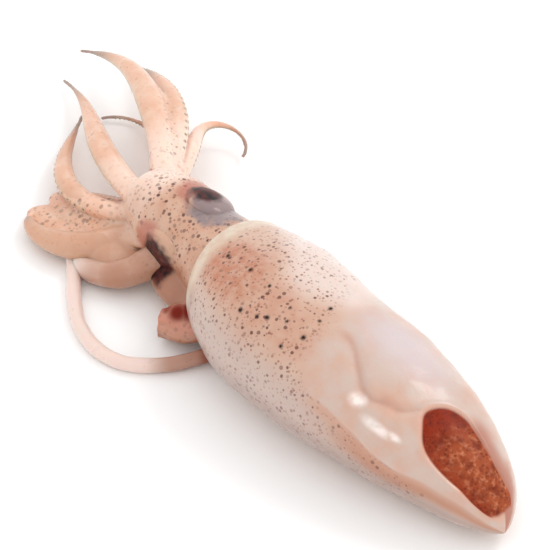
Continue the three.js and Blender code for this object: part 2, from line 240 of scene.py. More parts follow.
@dataclass
class Shell:
    """Points and faces of one closed surface, in millimetres."""

    points: Array
    faces: list[list[int]]

    @staticmethod
    def from_rings(rings: Array) -> "Shell":
        """Skins a row of rings and closes each end on a pole.

        Args:
            rings: points by ring and by place round the ring.

        Returns:
            The closed surface, with its faces outwards and nothing of it below the floor.
        """
        count, around = rings.shape[:2]
        ends = np.stack([rings[0].mean(0), rings[-1].mean(0)])
        points = np.concatenate([rings.reshape(-1, 3), ends])
        here = np.arange(around)
        after = np.roll(here, -1)
        start = np.arange(count - 1)[:, None] * around
        corners = (start + here, start + after, start + around + after, start + around + here)
        quads = np.stack(corners, axis=-1)
        first = np.stack([np.full(around, count * around), after, here], axis=-1)
        last_ring = (count - 1) * around
        last = np.stack([np.full(around, count * around + 1), last_ring + here, last_ring + after], axis=-1)
        faces = quads.reshape(-1, 4).tolist() + first.tolist() + last.tolist()
        shell = Shell(points, faces)
        if shell.volume() < 0.0:
            shell.faces = [face[::-1] for face in faces]
        shell.points[:, 2] = np.maximum(shell.points[:, 2], 0.0)
        return shell

    @staticmethod
    def oval(centre: Spot, radii: Spot, rings: int = 38, around: int = 60) -> "Shell":
        """A lump with three radii."""
        axes = np.diag((-radii[0], radii[1], radii[2]))
        return Shell.from_rings(ball(axes, rings, around) + np.array(centre))

    def volume(self) -> float:
        """Measures what the surface encloses.

        Returns:
            Signed volume in cubic millimetres, which is negative when the faces point inwards.
        """
        total = 0.0
        for corners in (4, 3):
            faces = np.array([face for face in self.faces if len(face) == corners])
            for k in range(1, corners - 1) if len(faces) else ():
                first, second, third = (self.points[faces[:, i]] for i in (0, k, k + 1))
                total += float(np.einsum("ij,ij->i", first, np.cross(second, third)).sum()) / 6.0
        return total

    def mesh(self, name: str) -> bpy.types.Mesh:
        """Turns the surface into a mesh.

        Args:
            name: the name of the mesh.

        Returns:
            A smooth-shaded mesh in metres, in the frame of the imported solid.
        """
        made = bpy.data.meshes.new(name)
        made.from_pydata(in_frame(self.points), [], self.faces)
        made.validate()
        made.shade_smooth()
        return made


def in_frame(points: Array) -> list[list[float]]:
    """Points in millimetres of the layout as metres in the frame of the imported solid."""
    return ((points - REST_SPOT) * MM).tolist()


def joined(shells: Sequence[Shell]) -> Shell:
    """Takes several shells as one.

    Args:
        shells: the shells to join.

    Returns:
        One shell, in which they are left as separate surfaces.
    """
    points: list[Array] = []
    faces: list[list[int]] = []
    offset = 0
    for shell in shells:
        points.append(shell.points)
        faces.extend([[i + offset for i in face] for face in shell.faces])
        offset += len(shell.points)
    return Shell(np.concatenate(points), faces)


def placed(name: str, data: Any) -> bpy.types.Object:
    """Sets some data in the scene.

    Args:
        name: the name of the object.
        data: a mesh, a lamp or a camera.

    Returns:
        The new object.
    """
    made = bpy.data.objects.new(name, data)
    bpy.context.scene.collection.objects.link(made)
    return made


def plain_mesh(holder: bpy.types.Object, name: str) -> bpy.types.Mesh:
    """Applies what modifies an object and takes the object away.

    Args:
        holder: the object with its modifiers.
        name: the name of the mesh that is kept.

    Returns:
        The finished mesh.
    """
    bpy.context.view_layer.update()
    seen = holder.evaluated_get(bpy.context.evaluated_depsgraph_get())
    made = bpy.data.meshes.new_from_object(seen)
    made.name = name
    holder.modifiers.clear()
    bpy.data.objects.remove(holder)
    return made


def fused(shells: Sequence[Shell], voxel: float, rounds: int, name: str) -> bpy.types.Mesh:
    """Melts overlapping shells into one even skin.

    Args:
        shells: closed surfaces that overlap.
        voxel: spacing of the new skin in millimetres.
        rounds: how often the new skin is relaxed.
        name: the name of the mesh.

    Returns:
        One closed mesh in metres.
    """
    holder = placed(name, joined(shells).mesh(name))
    skin = holder.modifiers.new("skin", "REMESH")
    skin.mode = "VOXEL"
    skin.voxel_size = voxel * MM
    relax = holder.modifiers.new("relax", "SMOOTH")
    relax.factor = 0.5
    relax.iterations = rounds
    made = plain_mesh(holder, name)
    made.shade_smooth()
    return made


def mesh_points(mesh: bpy.types.Mesh) -> Array:
    """Reads the points of a mesh.

    Args:
        mesh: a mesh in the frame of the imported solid.

    Returns:
        Its points, back in the layout of the body in millimetres.
    """
    flat = np.empty(len(mesh.vertices) * 3, np.float32)
    mesh.vertices.foreach_get("co", flat)
    return flat.reshape(-1, 3).astype(float) / MM + REST_SPOT


def per_point(values: Array, count: int) -> Array:
    """One number for each point of a mesh; the two poles of a skin take the first and the last one."""
    flat = np.ravel(values)
    return np.append(flat, flat[[0, -1]]) if len(flat) == count - 2 else flat


def paint(mesh: bpy.types.Mesh, masks: dict[str, Array]) -> None:
    """Writes one number per point for each named mask.

    Args:
        mesh: the mesh that carries them.
        masks: the numbers by name, in the order of the points, or by ring without the two poles.
    """
    for name, values in masks.items():
        layer = mesh.attributes.new(name, "FLOAT", "POINT")
        layer.data.foreach_set("value", per_point(values, len(mesh.vertices)).astype(np.float32))


def add_piece(name: str, mesh: bpy.types.Mesh, finish: "Finish") -> bpy.types.Object:
    """Puts a finished mesh in the scene as a piece of the squid.

    Args:
        name: the piece's name.
        mesh: its mesh, in place.
        finish: what it is dressed in.

    Returns:
        The piece.
    """
    mesh.materials.clear()
    mesh.materials.append(finish.material())
    piece = placed(name, mesh)
    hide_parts(SOLID)
    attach(piece, BODY)
    triangles = sum(len(face.vertices) - 2 for face in mesh.polygons)
    log.info("%s: %d triangles, slot %s", name, triangles, finish.slot.value)
    return piece


@dataclass(frozen=True)
class ShadeSpot:
    """A soft round patch of painted shade on the flesh: its middle, its reach, how strong it is and its full
    core.
    """

    spot: Spot
    reach: float
    strength: float
    core: float = 0.25

    def cover(self, points: Array) -> Array:
        """How much of the patch lies on each point."""
        gap = np.linalg.norm(points - np.array(self.spot), axis=-1)
        return self.strength * smooth(self.reach, self.core * self.reach, gap)


# Painted dark-red shade in the creases where the funnel and the collar meet, and where the left tentacle
# tucks under the mantle.
CREVICE_SHADE = (
    ShadeSpot((-40.0, -16.0, 9.0), 3.4, 1.0),
    ShadeSpot((-38.0, -14.0, 9.5), 3.6, 1.0),
    ShadeSpot((-43.0, -16.4, 8.6), 2.4, 0.8),
    ShadeSpot((-26.0, -17.0, 3.0), 5.0, 0.8),
    ShadeSpot((-29.5, -14.5, 2.5), 3.6, 0.5),
)
# Painted shade under the head and throat, and where the left tentacle runs under the mantle.
UNDER_SHADE = (
    ShadeSpot((-60.5, -17.8, 6.3), 8.0, 0.65),
    ShadeSpot((-66.0, -18.0, 3.5), 7.0, 0.5),
    ShadeSpot((-48.0, -11.0, 8.0), 9.0, 0.95),
    ShadeSpot((-30.0, -15.0, 2.4), 7.0, 1.0),
)


def shade_cover(points: Array, shade_spots: Sequence[ShadeSpot]) -> Array:
    """The strongest painted shade on each point."""
    return np.max([stain_and_shade.cover(points) for stain_and_shade in shade_spots], axis=0)


# ------------------------------------------------------------------------------ helpers for finishes


class Slot(Enum):
    """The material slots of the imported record."""

    SKIN = "skin"
    FLESH = "flesh"
    EYE = "eye"
    SUCKER = "sucker"


def linear(colour: Colour) -> tuple[float, float, float, float]:
    """Turns a screen colour into the shader's.

    Args:
        colour: its red, green and blue, from 0 to 255.

    Returns:
        The linear colour with full cover.
    """
    shares = [part / 255.0 for part in colour]
    made = [part / 12.92 if part <= 0.04045 else ((part + 0.055) / 1.055) ** 2.4 for part in shares]
    return (made[0], made[1], made[2], 1.0)


@dataclass(frozen=True)
class Wetness:
    """Gloss and translucency of one kind of flesh, and what is left of them where it is dull."""

    roughness: float
    depth_share: float
    depth: float
    film: float
    film_roughness: float
    shine: float = 0.5
    depth_tint: Spot = (1.0, 0.42, 0.26)
    uneven: float = 0.09
    patches: float = 3.5
    patch_edge: tuple[float, float] = (0.3, 0.7)
    dull_roughness: float = 0.3
    dull_film: float = 0.1
    dull_shine: float = 0.3


@dataclass(frozen=True)
class Cloud:
    """Soft noise: size of a lump, detail, where it starts and ends, and its least and most cover."""

    size: float
    detail: float
    low: float
    high: float
    least: float = 0.0
    most: float = 1.0


@dataclass(frozen=True)
class Coat:
    """One tint over another: the mask it follows, its strength and the clouds that break it."""

    mask: str
    tint: Colour
    strength: float = 1.0
    cloud: Cloud | None = None


@dataclass(frozen=True)
class Speckle:
    """Scattered pigment spots: tint, spacing, smallest and largest radius, softness and strength."""

    tint: Colour
    spacing: float
    smallest: float
    largest: float
    soft: float
    faintest: float
    strongest: float
    warp: float = 0.4
    stretch: Spot = (1.0, 1.0, 1.0)


@dataclass(frozen=True)
class Relief:
    """Fine pores over broader lumps: sizes, share of the pores, depth of it all, detail of the pores."""

    pores: float
    share: float
    lumps: float
    depth: float
    detail: float = 3.0


class Nodes:
    """Adds the nodes of one tree in short calls."""

    def __init__(self, tree: bpy.types.NodeTree) -> None:
        """Takes the tree to write."""
        self.tree = tree

    def feed(self, socket: Socket, value: Any) -> None:
        """Fills one input.

        Args:
            socket: the input.
            value: an output to link, or a number, a vector or a colour to set.
        """
        if isinstance(value, Socket):
            self.tree.links.new(value, socket)
        elif socket.type == "RGBA" and len(value) == 3:
            socket.default_value = linear(value)
        else:
            socket.default_value = value

    def add(self, kind: str, fed: dict[Any, Any] | None = None, **settings: Any) -> bpy.types.Node:
        """Adds a node.

        Args:
            kind: its type.
            fed: what its inputs get, by their name or number.
            settings: its properties, which are set first.

        Returns:
            The node.
        """
        node = self.tree.nodes.new(kind)
        for key, value in settings.items():
            setattr(node, key, value)
        for key, value in (fed or {}).items():
            self.feed(node.inputs[key], value)
        return node


class Sketch(Nodes):
    """Writes the nodes of a material; places are in millimetres."""

    def __init__(self, name: str) -> None:
        """Starts an empty material.

        Args:
            name: the name of the material.
        """
        self.made = bpy.data.materials.new(name)
        self.made.use_nodes = True
        super().__init__(self.made.node_tree)
        self.tree.nodes.clear()

    def maths(self, operation: str, first: Any, second: Any = 0.0) -> Socket:
        """The result of one calculation."""
        return self.add("ShaderNodeMath", {0: first, 1: second}, operation=operation).outputs[0]

    def times(self, *factors: Any) -> Socket:
        """The product of several numbers."""
        return reduce(lambda one, other: self.maths("MULTIPLY", one, other), factors)

    def plus(self, *terms: Any) -> Socket:
        """The sum of several numbers."""
        return reduce(lambda one, other: self.maths("ADD", one, other), terms)

    def blend(self, share: Any, below: Any, above: Any) -> Socket:
        """One colour laid over another by a share."""
        fed = {0: share, 6: below, 7: above}
        return self.add("ShaderNodeMix", fed, data_type="RGBA", clamp_factor=True).outputs[2]

    def ramp(self, value: Any, low: Any, high: Any, start: Any = 0.0, end: Any = 1.0) -> Socket:
        """A soft step from start to end as value runs from low to high."""
        fed = dict(enumerate((value, low, high, start, end)))
        return self.add("ShaderNodeMapRange", fed, interpolation_type="SMOOTHSTEP").outputs[0]

    def mask(self, name: str, strength: float = 1.0) -> Socket:
        """A number painted on the mesh, weakened to a strength."""
        painted = self.add("ShaderNodeAttribute", attribute_name=name).outputs["Fac"]
        return painted if strength == 1.0 else self.times(painted, strength)

    def place(self) -> Socket:
        """The place on the object, in millimetres."""
        seen = self.add("ShaderNodeTexCoord").outputs["Object"]
        return self.add("ShaderNodeVectorMath", {0: seen, "Scale": 1.0 / MM}, operation="SCALE").outputs[0]

    def noise(self, place: Socket, size: float, detail: float = 2.0, out: str = "Fac") -> Socket:
        """Cloudy noise with lumps of a size, as a number from 0 to 1 or as a colour."""
        fed = {"Vector": place, "Scale": 1.0 / size, "Detail": detail}
        return self.add("ShaderNodeTexNoise", fed).outputs[out]

    def cloud(self, place: Socket, kind: Cloud) -> Socket:
        """The cover of some clouds."""
        lumps = self.noise(place, kind.size, kind.detail)
        return self.ramp(lumps, kind.low, kind.high, kind.least, kind.most)

    def coats(self, colour: Any, place: Socket, layers: Sequence[Coat]) -> Any:
        """Lays tints over a colour.

        Args:
            colour: the colour below them.
            place: the place on the object.
            layers: the tints, the lowest first.

        Returns:
            The colour with all of them on it.
        """
        for coat in layers:
            share = self.mask(coat.mask, coat.strength)
            if coat.cloud is not None:
                share = self.times(share, self.cloud(place, coat.cloud))
            colour = self.blend(share, colour, coat.tint)
        return colour

    def speckle(self, place: Socket, kind: Speckle) -> Socket:
        """Scatters pigment spots, each with its own size, strength and uneven outline.

        Args:
            place: the place on the object.
            kind: the spots.

        Returns:
            How much of them covers the place.
        """
        place = self.add("ShaderNodeVectorMath", {0: place, 1: kind.stretch}, operation="MULTIPLY").outputs[0]
        fed = {0: self.noise(place, kind.spacing, out="Color"), 1: (kind.warp,) * 3, 2: place}
        warped = self.add("ShaderNodeVectorMath", fed, operation="MULTIPLY_ADD").outputs[0]
        cells = self.add("ShaderNodeTexVoronoi", {"Vector": warped, "Scale": 1.0 / kind.spacing})
        draws = self.add("ShaderNodeSeparateColor", {0: cells.outputs["Color"]}).outputs
        sizes = (draws[0], 0.0, 1.0, kind.smallest / kind.spacing, kind.largest / kind.spacing)
        edge = self.add("ShaderNodeMapRange", dict(enumerate(sizes))).outputs[0]
        cover = self.ramp(cells.outputs["Distance"], self.times(edge, 1.0 - kind.soft), edge, 1.0, 0.0)
        return self.times(cover, self.ramp(draws[1], 0.0, 1.0, kind.faintest, kind.strongest))

    def freckled(self, colour: Socket, place: Socket, kinds: Sequence[Speckle]) -> Socket:
        """Lays pigment spots over a colour, where the mask of the spots is painted.

        Args:
            colour: the colour below them.
            place: the place on the object.
            kinds: the spots, the lowest first.

        Returns:
            The colour with the spots on it.
        """
        for kind in kinds:
            share = self.times(self.speckle(place, kind), self.mask("spots"))
            colour = self.blend(share, colour, kind.tint)
        return colour

    def bumps(self, place: Socket, kind: Relief) -> Socket:
        """The height of a relief of pores and lumps."""
        pores = self.times(self.noise(place, kind.pores, kind.detail), kind.share)
        return self.plus(pores, self.noise(place, kind.lumps))

    def dulled(self, dull: Any, full: float, share: float) -> Any:
        """A strength that sinks to a share of itself where the surface is dull."""
        return self.ramp(dull, 0.0, 1.0, full, share * full) if isinstance(dull, Socket) else full

    def skin(self, colour: Socket, height: Socket, depth: float, look: Wetness, dull: Any = 0.0) -> None:
        """Ends the material in wet, faintly translucent flesh.

        Args:
            colour: the colour of the surface.
            height: its fine relief, from 0 to 1.
            depth: depth of that relief in millimetres.
            look: gloss and translucency.
            dull: where the wet film is missing.
        """
        patches = self.noise(self.place(), look.patches)
        glossiest, roughest = look.roughness - look.uneven, look.roughness + look.uneven
        roughness = self.ramp(patches, *look.patch_edge, glossiest, roughest)
        roughness = self.plus(roughness, self.times(dull, look.dull_roughness))
        bump = self.add("ShaderNodeBump", {"Strength": 1.0, "Distance": depth * MM, "Height": height})
        fed = {
            "Base Color": colour,
            "Roughness": roughness,
            "Subsurface Weight": look.depth_share,
            "Subsurface Radius": look.depth_tint,
            "Subsurface Scale": look.depth * MM,
            "Coat Weight": self.dulled(dull, look.film, look.dull_film),
            "Coat Roughness": look.film_roughness,
            "Specular IOR Level": self.dulled(dull, look.shine, look.dull_shine),
            "Normal": bump.outputs[0],
        }
        shader = self.add("ShaderNodeBsdfPrincipled", fed)
        self.add("ShaderNodeOutputMaterial", {"Surface": shader.outputs[0]})


@dataclass(frozen=True)
class Finish:
    """What a piece is dressed in; each kind writes its own nodes."""

    name: str
    slot: Slot

    def write(self, sketch: Sketch) -> None:
        """Writes the nodes of this finish."""
        raise NotImplementedError

    def material(self) -> bpy.types.Material:
        """Gives the material of this finish.

        Returns:
            The material, made the first time that it is asked for.
        """
        known = bpy.data.materials.get(self.name)
        if known is not None:
            return known
        sketch = Sketch(self.name)
        self.write(sketch)
        return sketch.made


@dataclass(frozen=True)
class BodySkin(Finish):
    """Skin of the mantle and fins: speckled in front, milky on the fins, bare and red-brown at the tail, with
    painted light on the upper right and painted shade low on the left.
    """

    tan: Colour = (203, 169, 148)
    rosy: Colour = (199, 156, 134)
    rosy_cloud: Cloud = Cloud(8.0, 3.0, 0.35, 0.68)
    front: Sequence[Coat] = (
        # painted light: the upper right of the mantle, the side that faces the lamp, is paler
        Coat("pale", (220, 198, 188)),
        Coat("patch", (183, 113, 78), cloud=Cloud(2.2, 4.0, 0.32, 0.66, 0.45, 1.0)),
        # painted shade on the lower left flank
        Coat("flank_shade", (191, 171, 163), 0.8),
        # painted shade in the band just below the left fin's fold
        Coat("under", (178, 120, 90), 0.85),
        # painted shade along the lowest edge of the mantle, next to the floor
        Coat("low", (160, 133, 123), 0.7),
    )
    milk: Colour = (200, 176, 163)
    blush: Colour = (202, 164, 146)
    blush_cloud: Cloud = Cloud(6.0, 3.0, 0.36, 0.66)
    fins: Sequence[Coat] = (
        Coat("gleam", (206, 191, 192), 0.85),
        Coat("amber", (208, 158, 132), 0.7),
        # painted shade along the valley between the two fins
        Coat("valley_shade", (188, 140, 122), 0.6),
        Coat("glint", (244, 232, 226), cloud=Cloud(2.4, 2.0, 0.25, 0.6, 0.4, 0.9)),
        Coat("lip", (210, 152, 124), 0.7),
        Coat("shade", (172, 108, 86), 0.95),
    )
    # painted shade in the crease under the left fin's fold
    crease_shade: Coat = Coat("crease_shade", (198, 150, 126), 0.7)
    speckles: Sequence[Speckle] = (
        Speckle((152, 92, 62), 0.95, 0.16, 0.44, 0.5, 0.3, 0.85),
        Speckle((96, 44, 26), 1.4, 0.28, 0.62, 0.4, 0.35, 0.95, stretch=(1.0, 1.0, 1.08)),
    )
    marks: Sequence[Coat] = (
        Coat("ink", (30, 12, 6)),
        Coat("rim", (214, 198, 176), cloud=Cloud(2.2, 3.0, 0.3, 0.7, 0.45, 0.95)),
    )
    bare: Colour = (137, 39, 10)
    bare_coats: Sequence[Coat] = (
        Coat("bare_light", (160, 76, 42)),
        Coat("bare_light", (206, 132, 96), cloud=Cloud(1.3, 4.0, 0.46, 0.72, 0.0, 0.7)),
    )
    bare_cloud: Cloud = Cloud(2.4, 4.0, 0.42, 0.72, 0.0, 0.7)
    bare_grain: Speckle = Speckle((100, 26, 8), 0.8, 0.2, 0.55, 0.6, 0.2, 0.7)
    wet: Wetness = Wetness(0.38, 0.3, 1.6, 0.4, 0.14)
    relief: Relief = Relief(0.8, 0.35, 3.2, 0.15)
    bare_lumps: float = 0.6
    bare_share: float = 0.6

    def bare_back(self, sketch: Sketch, place: Socket) -> Socket:
        """Mottles the red-brown back that the fins leave bare.

        Args:
            sketch: the material that is written.
            place: the place on the object.

        Returns:
            Its colour.
        """
        back = sketch.coats(self.bare, place, self.bare_coats)
        for share in (sketch.cloud(place, self.bare_cloud), sketch.speckle(place, self.bare_grain)):
            back = sketch.blend(share, back, self.bare_grain.tint)
        return back

    def write(self, sketch: Sketch) -> None:
        """Layers front, fins, spots and cream rim, and then the bare oval.

        Args:
            sketch: the material that is written.
        """
        place = sketch.place()
        front = sketch.blend(sketch.cloud(place, self.rosy_cloud), self.tan, self.rosy)
        front = sketch.coats(front, place, self.front)
        milky = sketch.blend(sketch.cloud(place, self.blush_cloud), self.milk, self.blush)
        milky = sketch.coats(milky, place, self.fins)
        colour = sketch.blend(sketch.mask("fin"), front, milky)
        colour = sketch.coats(colour, place, (self.crease_shade,))
        colour = sketch.freckled(colour, place, self.speckles)
        colour = sketch.coats(colour, place, self.marks)
        colour = sketch.blend(sketch.mask("bare"), colour, self.bare_back(sketch, place))
        bare_lumps = sketch.times(sketch.mask("bare"), sketch.noise(place, self.bare_lumps), self.bare_share)
        height = sketch.plus(sketch.bumps(place, self.relief), bare_lumps)
        dull = sketch.maths("MAXIMUM", sketch.mask("bare"), sketch.mask("ink", 0.8))
        sketch.skin(colour, height, self.relief.depth, self.wet, dull)


@dataclass(frozen=True)
class EyeTints:
    """The dark patch of an eye with its red and its haze, shared by the eye and the skin round it."""

    red: Colour = (178, 98, 80)
    red_most: float = 0.75
    haze: Colour = (126, 112, 117)
    haze_most: float = 0.85
    maroon: Colour = (82, 30, 26)
    black: Colour = (32, 12, 16)
    black_cloud: Cloud = Cloud(1.8, 3.0, 0.35, 0.65)
    ragged: Cloud = Cloud(2.4, 2.0, 0.3, 0.7, -0.2, 0.2)
    soft: float = 0.3

    def over(self, sketch: Sketch, place: Socket, colour: Any) -> Socket:
        """Lays the patch over a colour, with ragged edges.

        Args:
            sketch: the material that is written.
            place: the place on the object.
            colour: the colour below the patch.

        Returns:
            The colour with the patch on it.
        """
        ragged = sketch.cloud(place, self.ragged)
        dark = sketch.blend(sketch.cloud(place, self.black_cloud), self.maroon, self.black)
        layers = (("red", self.red, self.red_most), ("haze", self.haze, self.haze_most), ("dark", dark, 1.0))
        for name, tint, most in layers:
            cover = sketch.ramp(sketch.plus(sketch.mask(name), ragged), 0.0, 1.0, 0.0, most)
            share = sketch.times(cover, sketch.ramp(sketch.mask(name), 0.0, self.soft))
            colour = sketch.blend(share, colour, tint)
        return colour


@dataclass(frozen=True)
class Flesh(Finish):
    """Smooth flesh: sandy head, coral arms with a painted translucent rim along their sides and grey tips,
    milky tentacles, and painted shade low down and in the creases.
    """

    tan: Colour = (198, 150, 123)
    sand: Colour = (205, 166, 142)
    sand_cloud: Cloud = Cloud(4.5, 3.0, 0.35, 0.68)
    coral: Colour = (221, 171, 141)
    pallor: Colour = (228, 196, 174)
    pallor_cloud: Cloud = Cloud(4.0, 2.0, 0.35, 0.7, 0.0, 0.6)
    tones: Sequence[Coat] = (
        # painted translucent rim: the sides of the arms are greyer, as light shows through them
        Coat("edge", (206, 184, 158), 0.8),
        Coat("cream", (244, 216, 200), 0.85),
        # painted shade on the low-lying arms and on the left side of head and arms
        Coat("low_shade", (196, 146, 116), 0.7),
        Coat("seam", (206, 138, 112), 0.8),
        Coat("stalk", (229, 206, 196)),
        # painted shade under the head, on the funnel's lower side and on the tentacles' roots and tucked end
        Coat("under_shade", (164, 108, 80)),
        Coat("sore", (196, 132, 108)),
        Coat("tip", (150, 138, 128)),
    )
    speckles: Sequence[Speckle] = (
        Speckle((156, 94, 64), 0.95, 0.16, 0.44, 0.5, 0.3, 0.9),
        Speckle((92, 42, 26), 1.5, 0.32, 0.74, 0.4, 0.5, 1.0),
    )
    # painted dark-red shade in the creases at collar and funnel and inside the funnel's bore
    crevice_shade: Coat = Coat("crevice_shade", (120, 28, 10))
    tints: EyeTints = EyeTints()
    wet: Wetness = Wetness(0.36, 0.45, 2.0, 0.45, 0.13)
    relief: Relief = Relief(0.7, 0.4, 2.4, 0.16)

    def write(self, sketch: Sketch) -> None:
        """Layers head, arms and tentacles, then spots, the painted dark-red shade in the creases and the dark
        round the eyes.

        Args:
            sketch: the material that is written.
        """
        place = sketch.place()
        colour = sketch.blend(sketch.cloud(place, self.sand_cloud), self.tan, self.sand)
        coral = sketch.blend(sketch.cloud(place, self.pallor_cloud), self.coral, self.pallor)
        colour = sketch.blend(sketch.mask("arm"), colour, coral)
        colour = sketch.coats(colour, place, self.tones)
        colour = sketch.freckled(colour, place, self.speckles)
        colour = sketch.coats(colour, place, (self.crevice_shade,))
        colour = self.tints.over(sketch, place, colour)
        dull = sketch.maths("MAXIMUM", sketch.mask("crevice_shade"), sketch.mask("dark"))
        sketch.skin(colour, sketch.bumps(place, self.relief), self.relief.depth, self.wet, dull)


@dataclass(frozen=True)
class EyeFilm(Finish):
    """The eye under its wet film: flesh that turns red, blue-grey or nearly black."""

    lid: Colour = (200, 158, 133)
    tints: EyeTints = EyeTints()
    wet: Wetness = Wetness(0.3, 0.1, 0.8, 0.3, 0.12, 0.3)
    lumps: float = 1.2
    depth: float = 0.1

    def write(self, sketch: Sketch) -> None:
        """Lays the dark patch over flesh.

        Args:
            sketch: the material that is written.
        """
        place = sketch.place()
        colour = self.tints.over(sketch, place, self.lid)
        sketch.skin(colour, sketch.noise(place, self.lumps), self.depth, self.wet, sketch.mask("dark", 0.6))


@dataclass(frozen=True)
class SuckerFlesh(Finish):
    """Pale rings of the suckers, darker in the cup."""

    ring: Colour = (216, 185, 162)
    cup: Colour = (136, 88, 70)
    stain_and_shade: Cloud = Cloud(1.5, 2.0, 0.4, 0.7, 0.0, 0.3)
    wet: Wetness = Wetness(0.34, 0.4, 1.0, 0.45, 0.13)
    lumps: float = 0.4
    depth: float = 0.04

    def write(self, sketch: Sketch) -> None:
        """Lays the brown of the cups over pale rings.

        Args:
            sketch: the material that is written.
        """
        place = sketch.place()
        colour = sketch.blend(sketch.mask("cup"), self.ring, self.cup)
        colour = sketch.blend(sketch.cloud(place, self.stain_and_shade), colour, self.cup)
        sketch.skin(colour, sketch.noise(place, self.lumps), self.depth, self.wet)


BODY_SKIN = BodySkin("body_skin", Slot.SKIN)
FLESH = Flesh("soft_flesh", Slot.FLESH)
EYE_FILM = EyeFilm("eye_film", Slot.EYE)
SUCKER_FLESH = SuckerFlesh("sucker_flesh", Slot.SUCKER)


# ------------------------------------------------------------------------------ mantle and fins


@dataclass(frozen=True)
class MantleForm:
    """The slumped tube of the mantle; a station is 0 at the collar and 1 at the tail tip."""

    length: float = 99.0
    collar_x: float = -40.0
    half_width: float = 19.9
    slump: float = 0.795
    widest: float = 0.2
    collar_share: float = 0.755
    shoulder: float = 1.3
    tail_bulge: float = 2.05
    tail_blunt: float = 0.5
    tail_rise: float = 1.6
    tip_rise: float = 2.6
    belly_sink: float = 0.8
    sink_span: float = 1.1
    side_bow: float = 7.2
    tail_drift: float = 2.6
    nose_up: float = 1.0
    lobe_reach: float = 3.2
    lobe_lean: float = -14.0
    lobe_narrow: float = 6.0
    lobe_fade: float = 0.2
    collar_slant: float = 2.6

    def width_at(self, station: Array) -> Array:
        """Half width of the body.

        Args:
            station: place along it.

        Returns:
            The half width at each place.
        """
        back = np.clip((self.widest - station) / self.widest, 0.0, None)
        on = np.clip((station - self.widest) / (1.0 - self.widest), 0.0, 1.0)
        front = 1.0 - (1.0 - self.collar_share) * back**self.shoulder
        rear = np.clip(1.0 - on**self.tail_bulge, 0.0, None) ** self.tail_blunt
        return self.half_width * np.where(station < self.widest, front, rear)

    def axis_at(self, station: Array) -> tuple[Array, Array, Array]:
        """Middle of the sections.

        Args:
            station: place along the body.

        Returns:
            How far along, to the side and up the middle of each section lies.
        """
        sink = self.belly_sink * np.sin(math.pi * np.clip(self.sink_span * station, 0.0, 1.0))
        nose = self.nose_up * np.clip(1.0 - station / self.widest, 0.0, None) ** 2
        rise = self.tail_rise * station**3 + self.tip_rise * station**14
        height = self.width_at(station) * self.slump - sink + rise + nose
        bow = -self.side_bow * np.sin(math.pi * station) * (1.0 - station) - self.tail_drift * station**4
        return self.collar_x + self.length * station, bow, height

    def point(self, station: Array, angle: Array, radius: Array) -> Array:
        """Points of the body.

        Args:
            station: place along it.
            angle: degrees from the top towards the right side.
            radius: distance from the middle of the section.

        Returns:
            The points.
        """
        along, bow, height = self.axis_at(station)
        turn = np.radians(angle)
        lobe = self.lobe_reach * np.cos(np.radians(angle - self.lobe_lean) / 2.0) ** self.lobe_narrow
        lobe = lobe - self.collar_slant * (1.0 - np.sin(turn)) / 2.0
        ahead = lobe * np.clip(1.0 - station / self.lobe_fade, 0.0, None) ** 2
        sideways = bow + radius * np.sin(turn)
        upward = height + radius * self.slump * np.cos(turn)
        return np.stack(np.broadcast_arrays(along - ahead, sideways, upward), axis=-1)


FORM = MantleForm()


class Side(Enum):
    """The two sides of the animal."""

    LEFT = "left"
    RIGHT = "right"


@dataclass(frozen=True)
class Oval:
    """A soft oval on the mantle: station and angle of its middle, its reach both ways, its full core."""

    station: float
    angle: float
    along: float
    around: float
    core: float = 0.4

    def cover(self, station: Array, angle: Array) -> Array:
        """How far each place lies inside, fading from the core to the edge."""
        off = np.hypot((station - self.station) / self.along, (angle - self.angle) / self.around)
        return smooth(1.0, self.core, off)


@dataclass(frozen=True)
class Line:
    """A smooth line over the mantle: a value at each of some rising places."""

    places: Sequence[float]
    values: Sequence[float]

    def at(self, place: Array) -> Array:
        """The line's value at each place."""
        return between(self.places, self.values, place)


def inside_by(outline: Array, places: Array) -> Array:
    """How far places lie inside a closed outline.

    Args:
        outline: the corners in order.
        places: the places to measure.

    Returns:
        The distance to the outline in its own unit, negative outside.
    """
    nearest = np.full(len(places), np.inf)
    odd = np.zeros(len(places), bool)
    for start, end in zip(outline, np.roll(outline, -1, axis=0)):
        side = end - start
        off = places - start
        share = np.clip(off @ side / max(float(side @ side), 1e-9), 0.0, 1.0)
        nearest = np.minimum(nearest, np.linalg.norm(off - share[:, None] * side, axis=1))
        spans = (start[1] > places[:, 1]) != (end[1] > places[:, 1])
        crossing = start[0] + off[:, 1] * side[0] / (side[1] if side[1] else 1e-9)
        odd ^= spans & (places[:, 0] < crossing)
    return np.where(odd, nearest, -nearest)


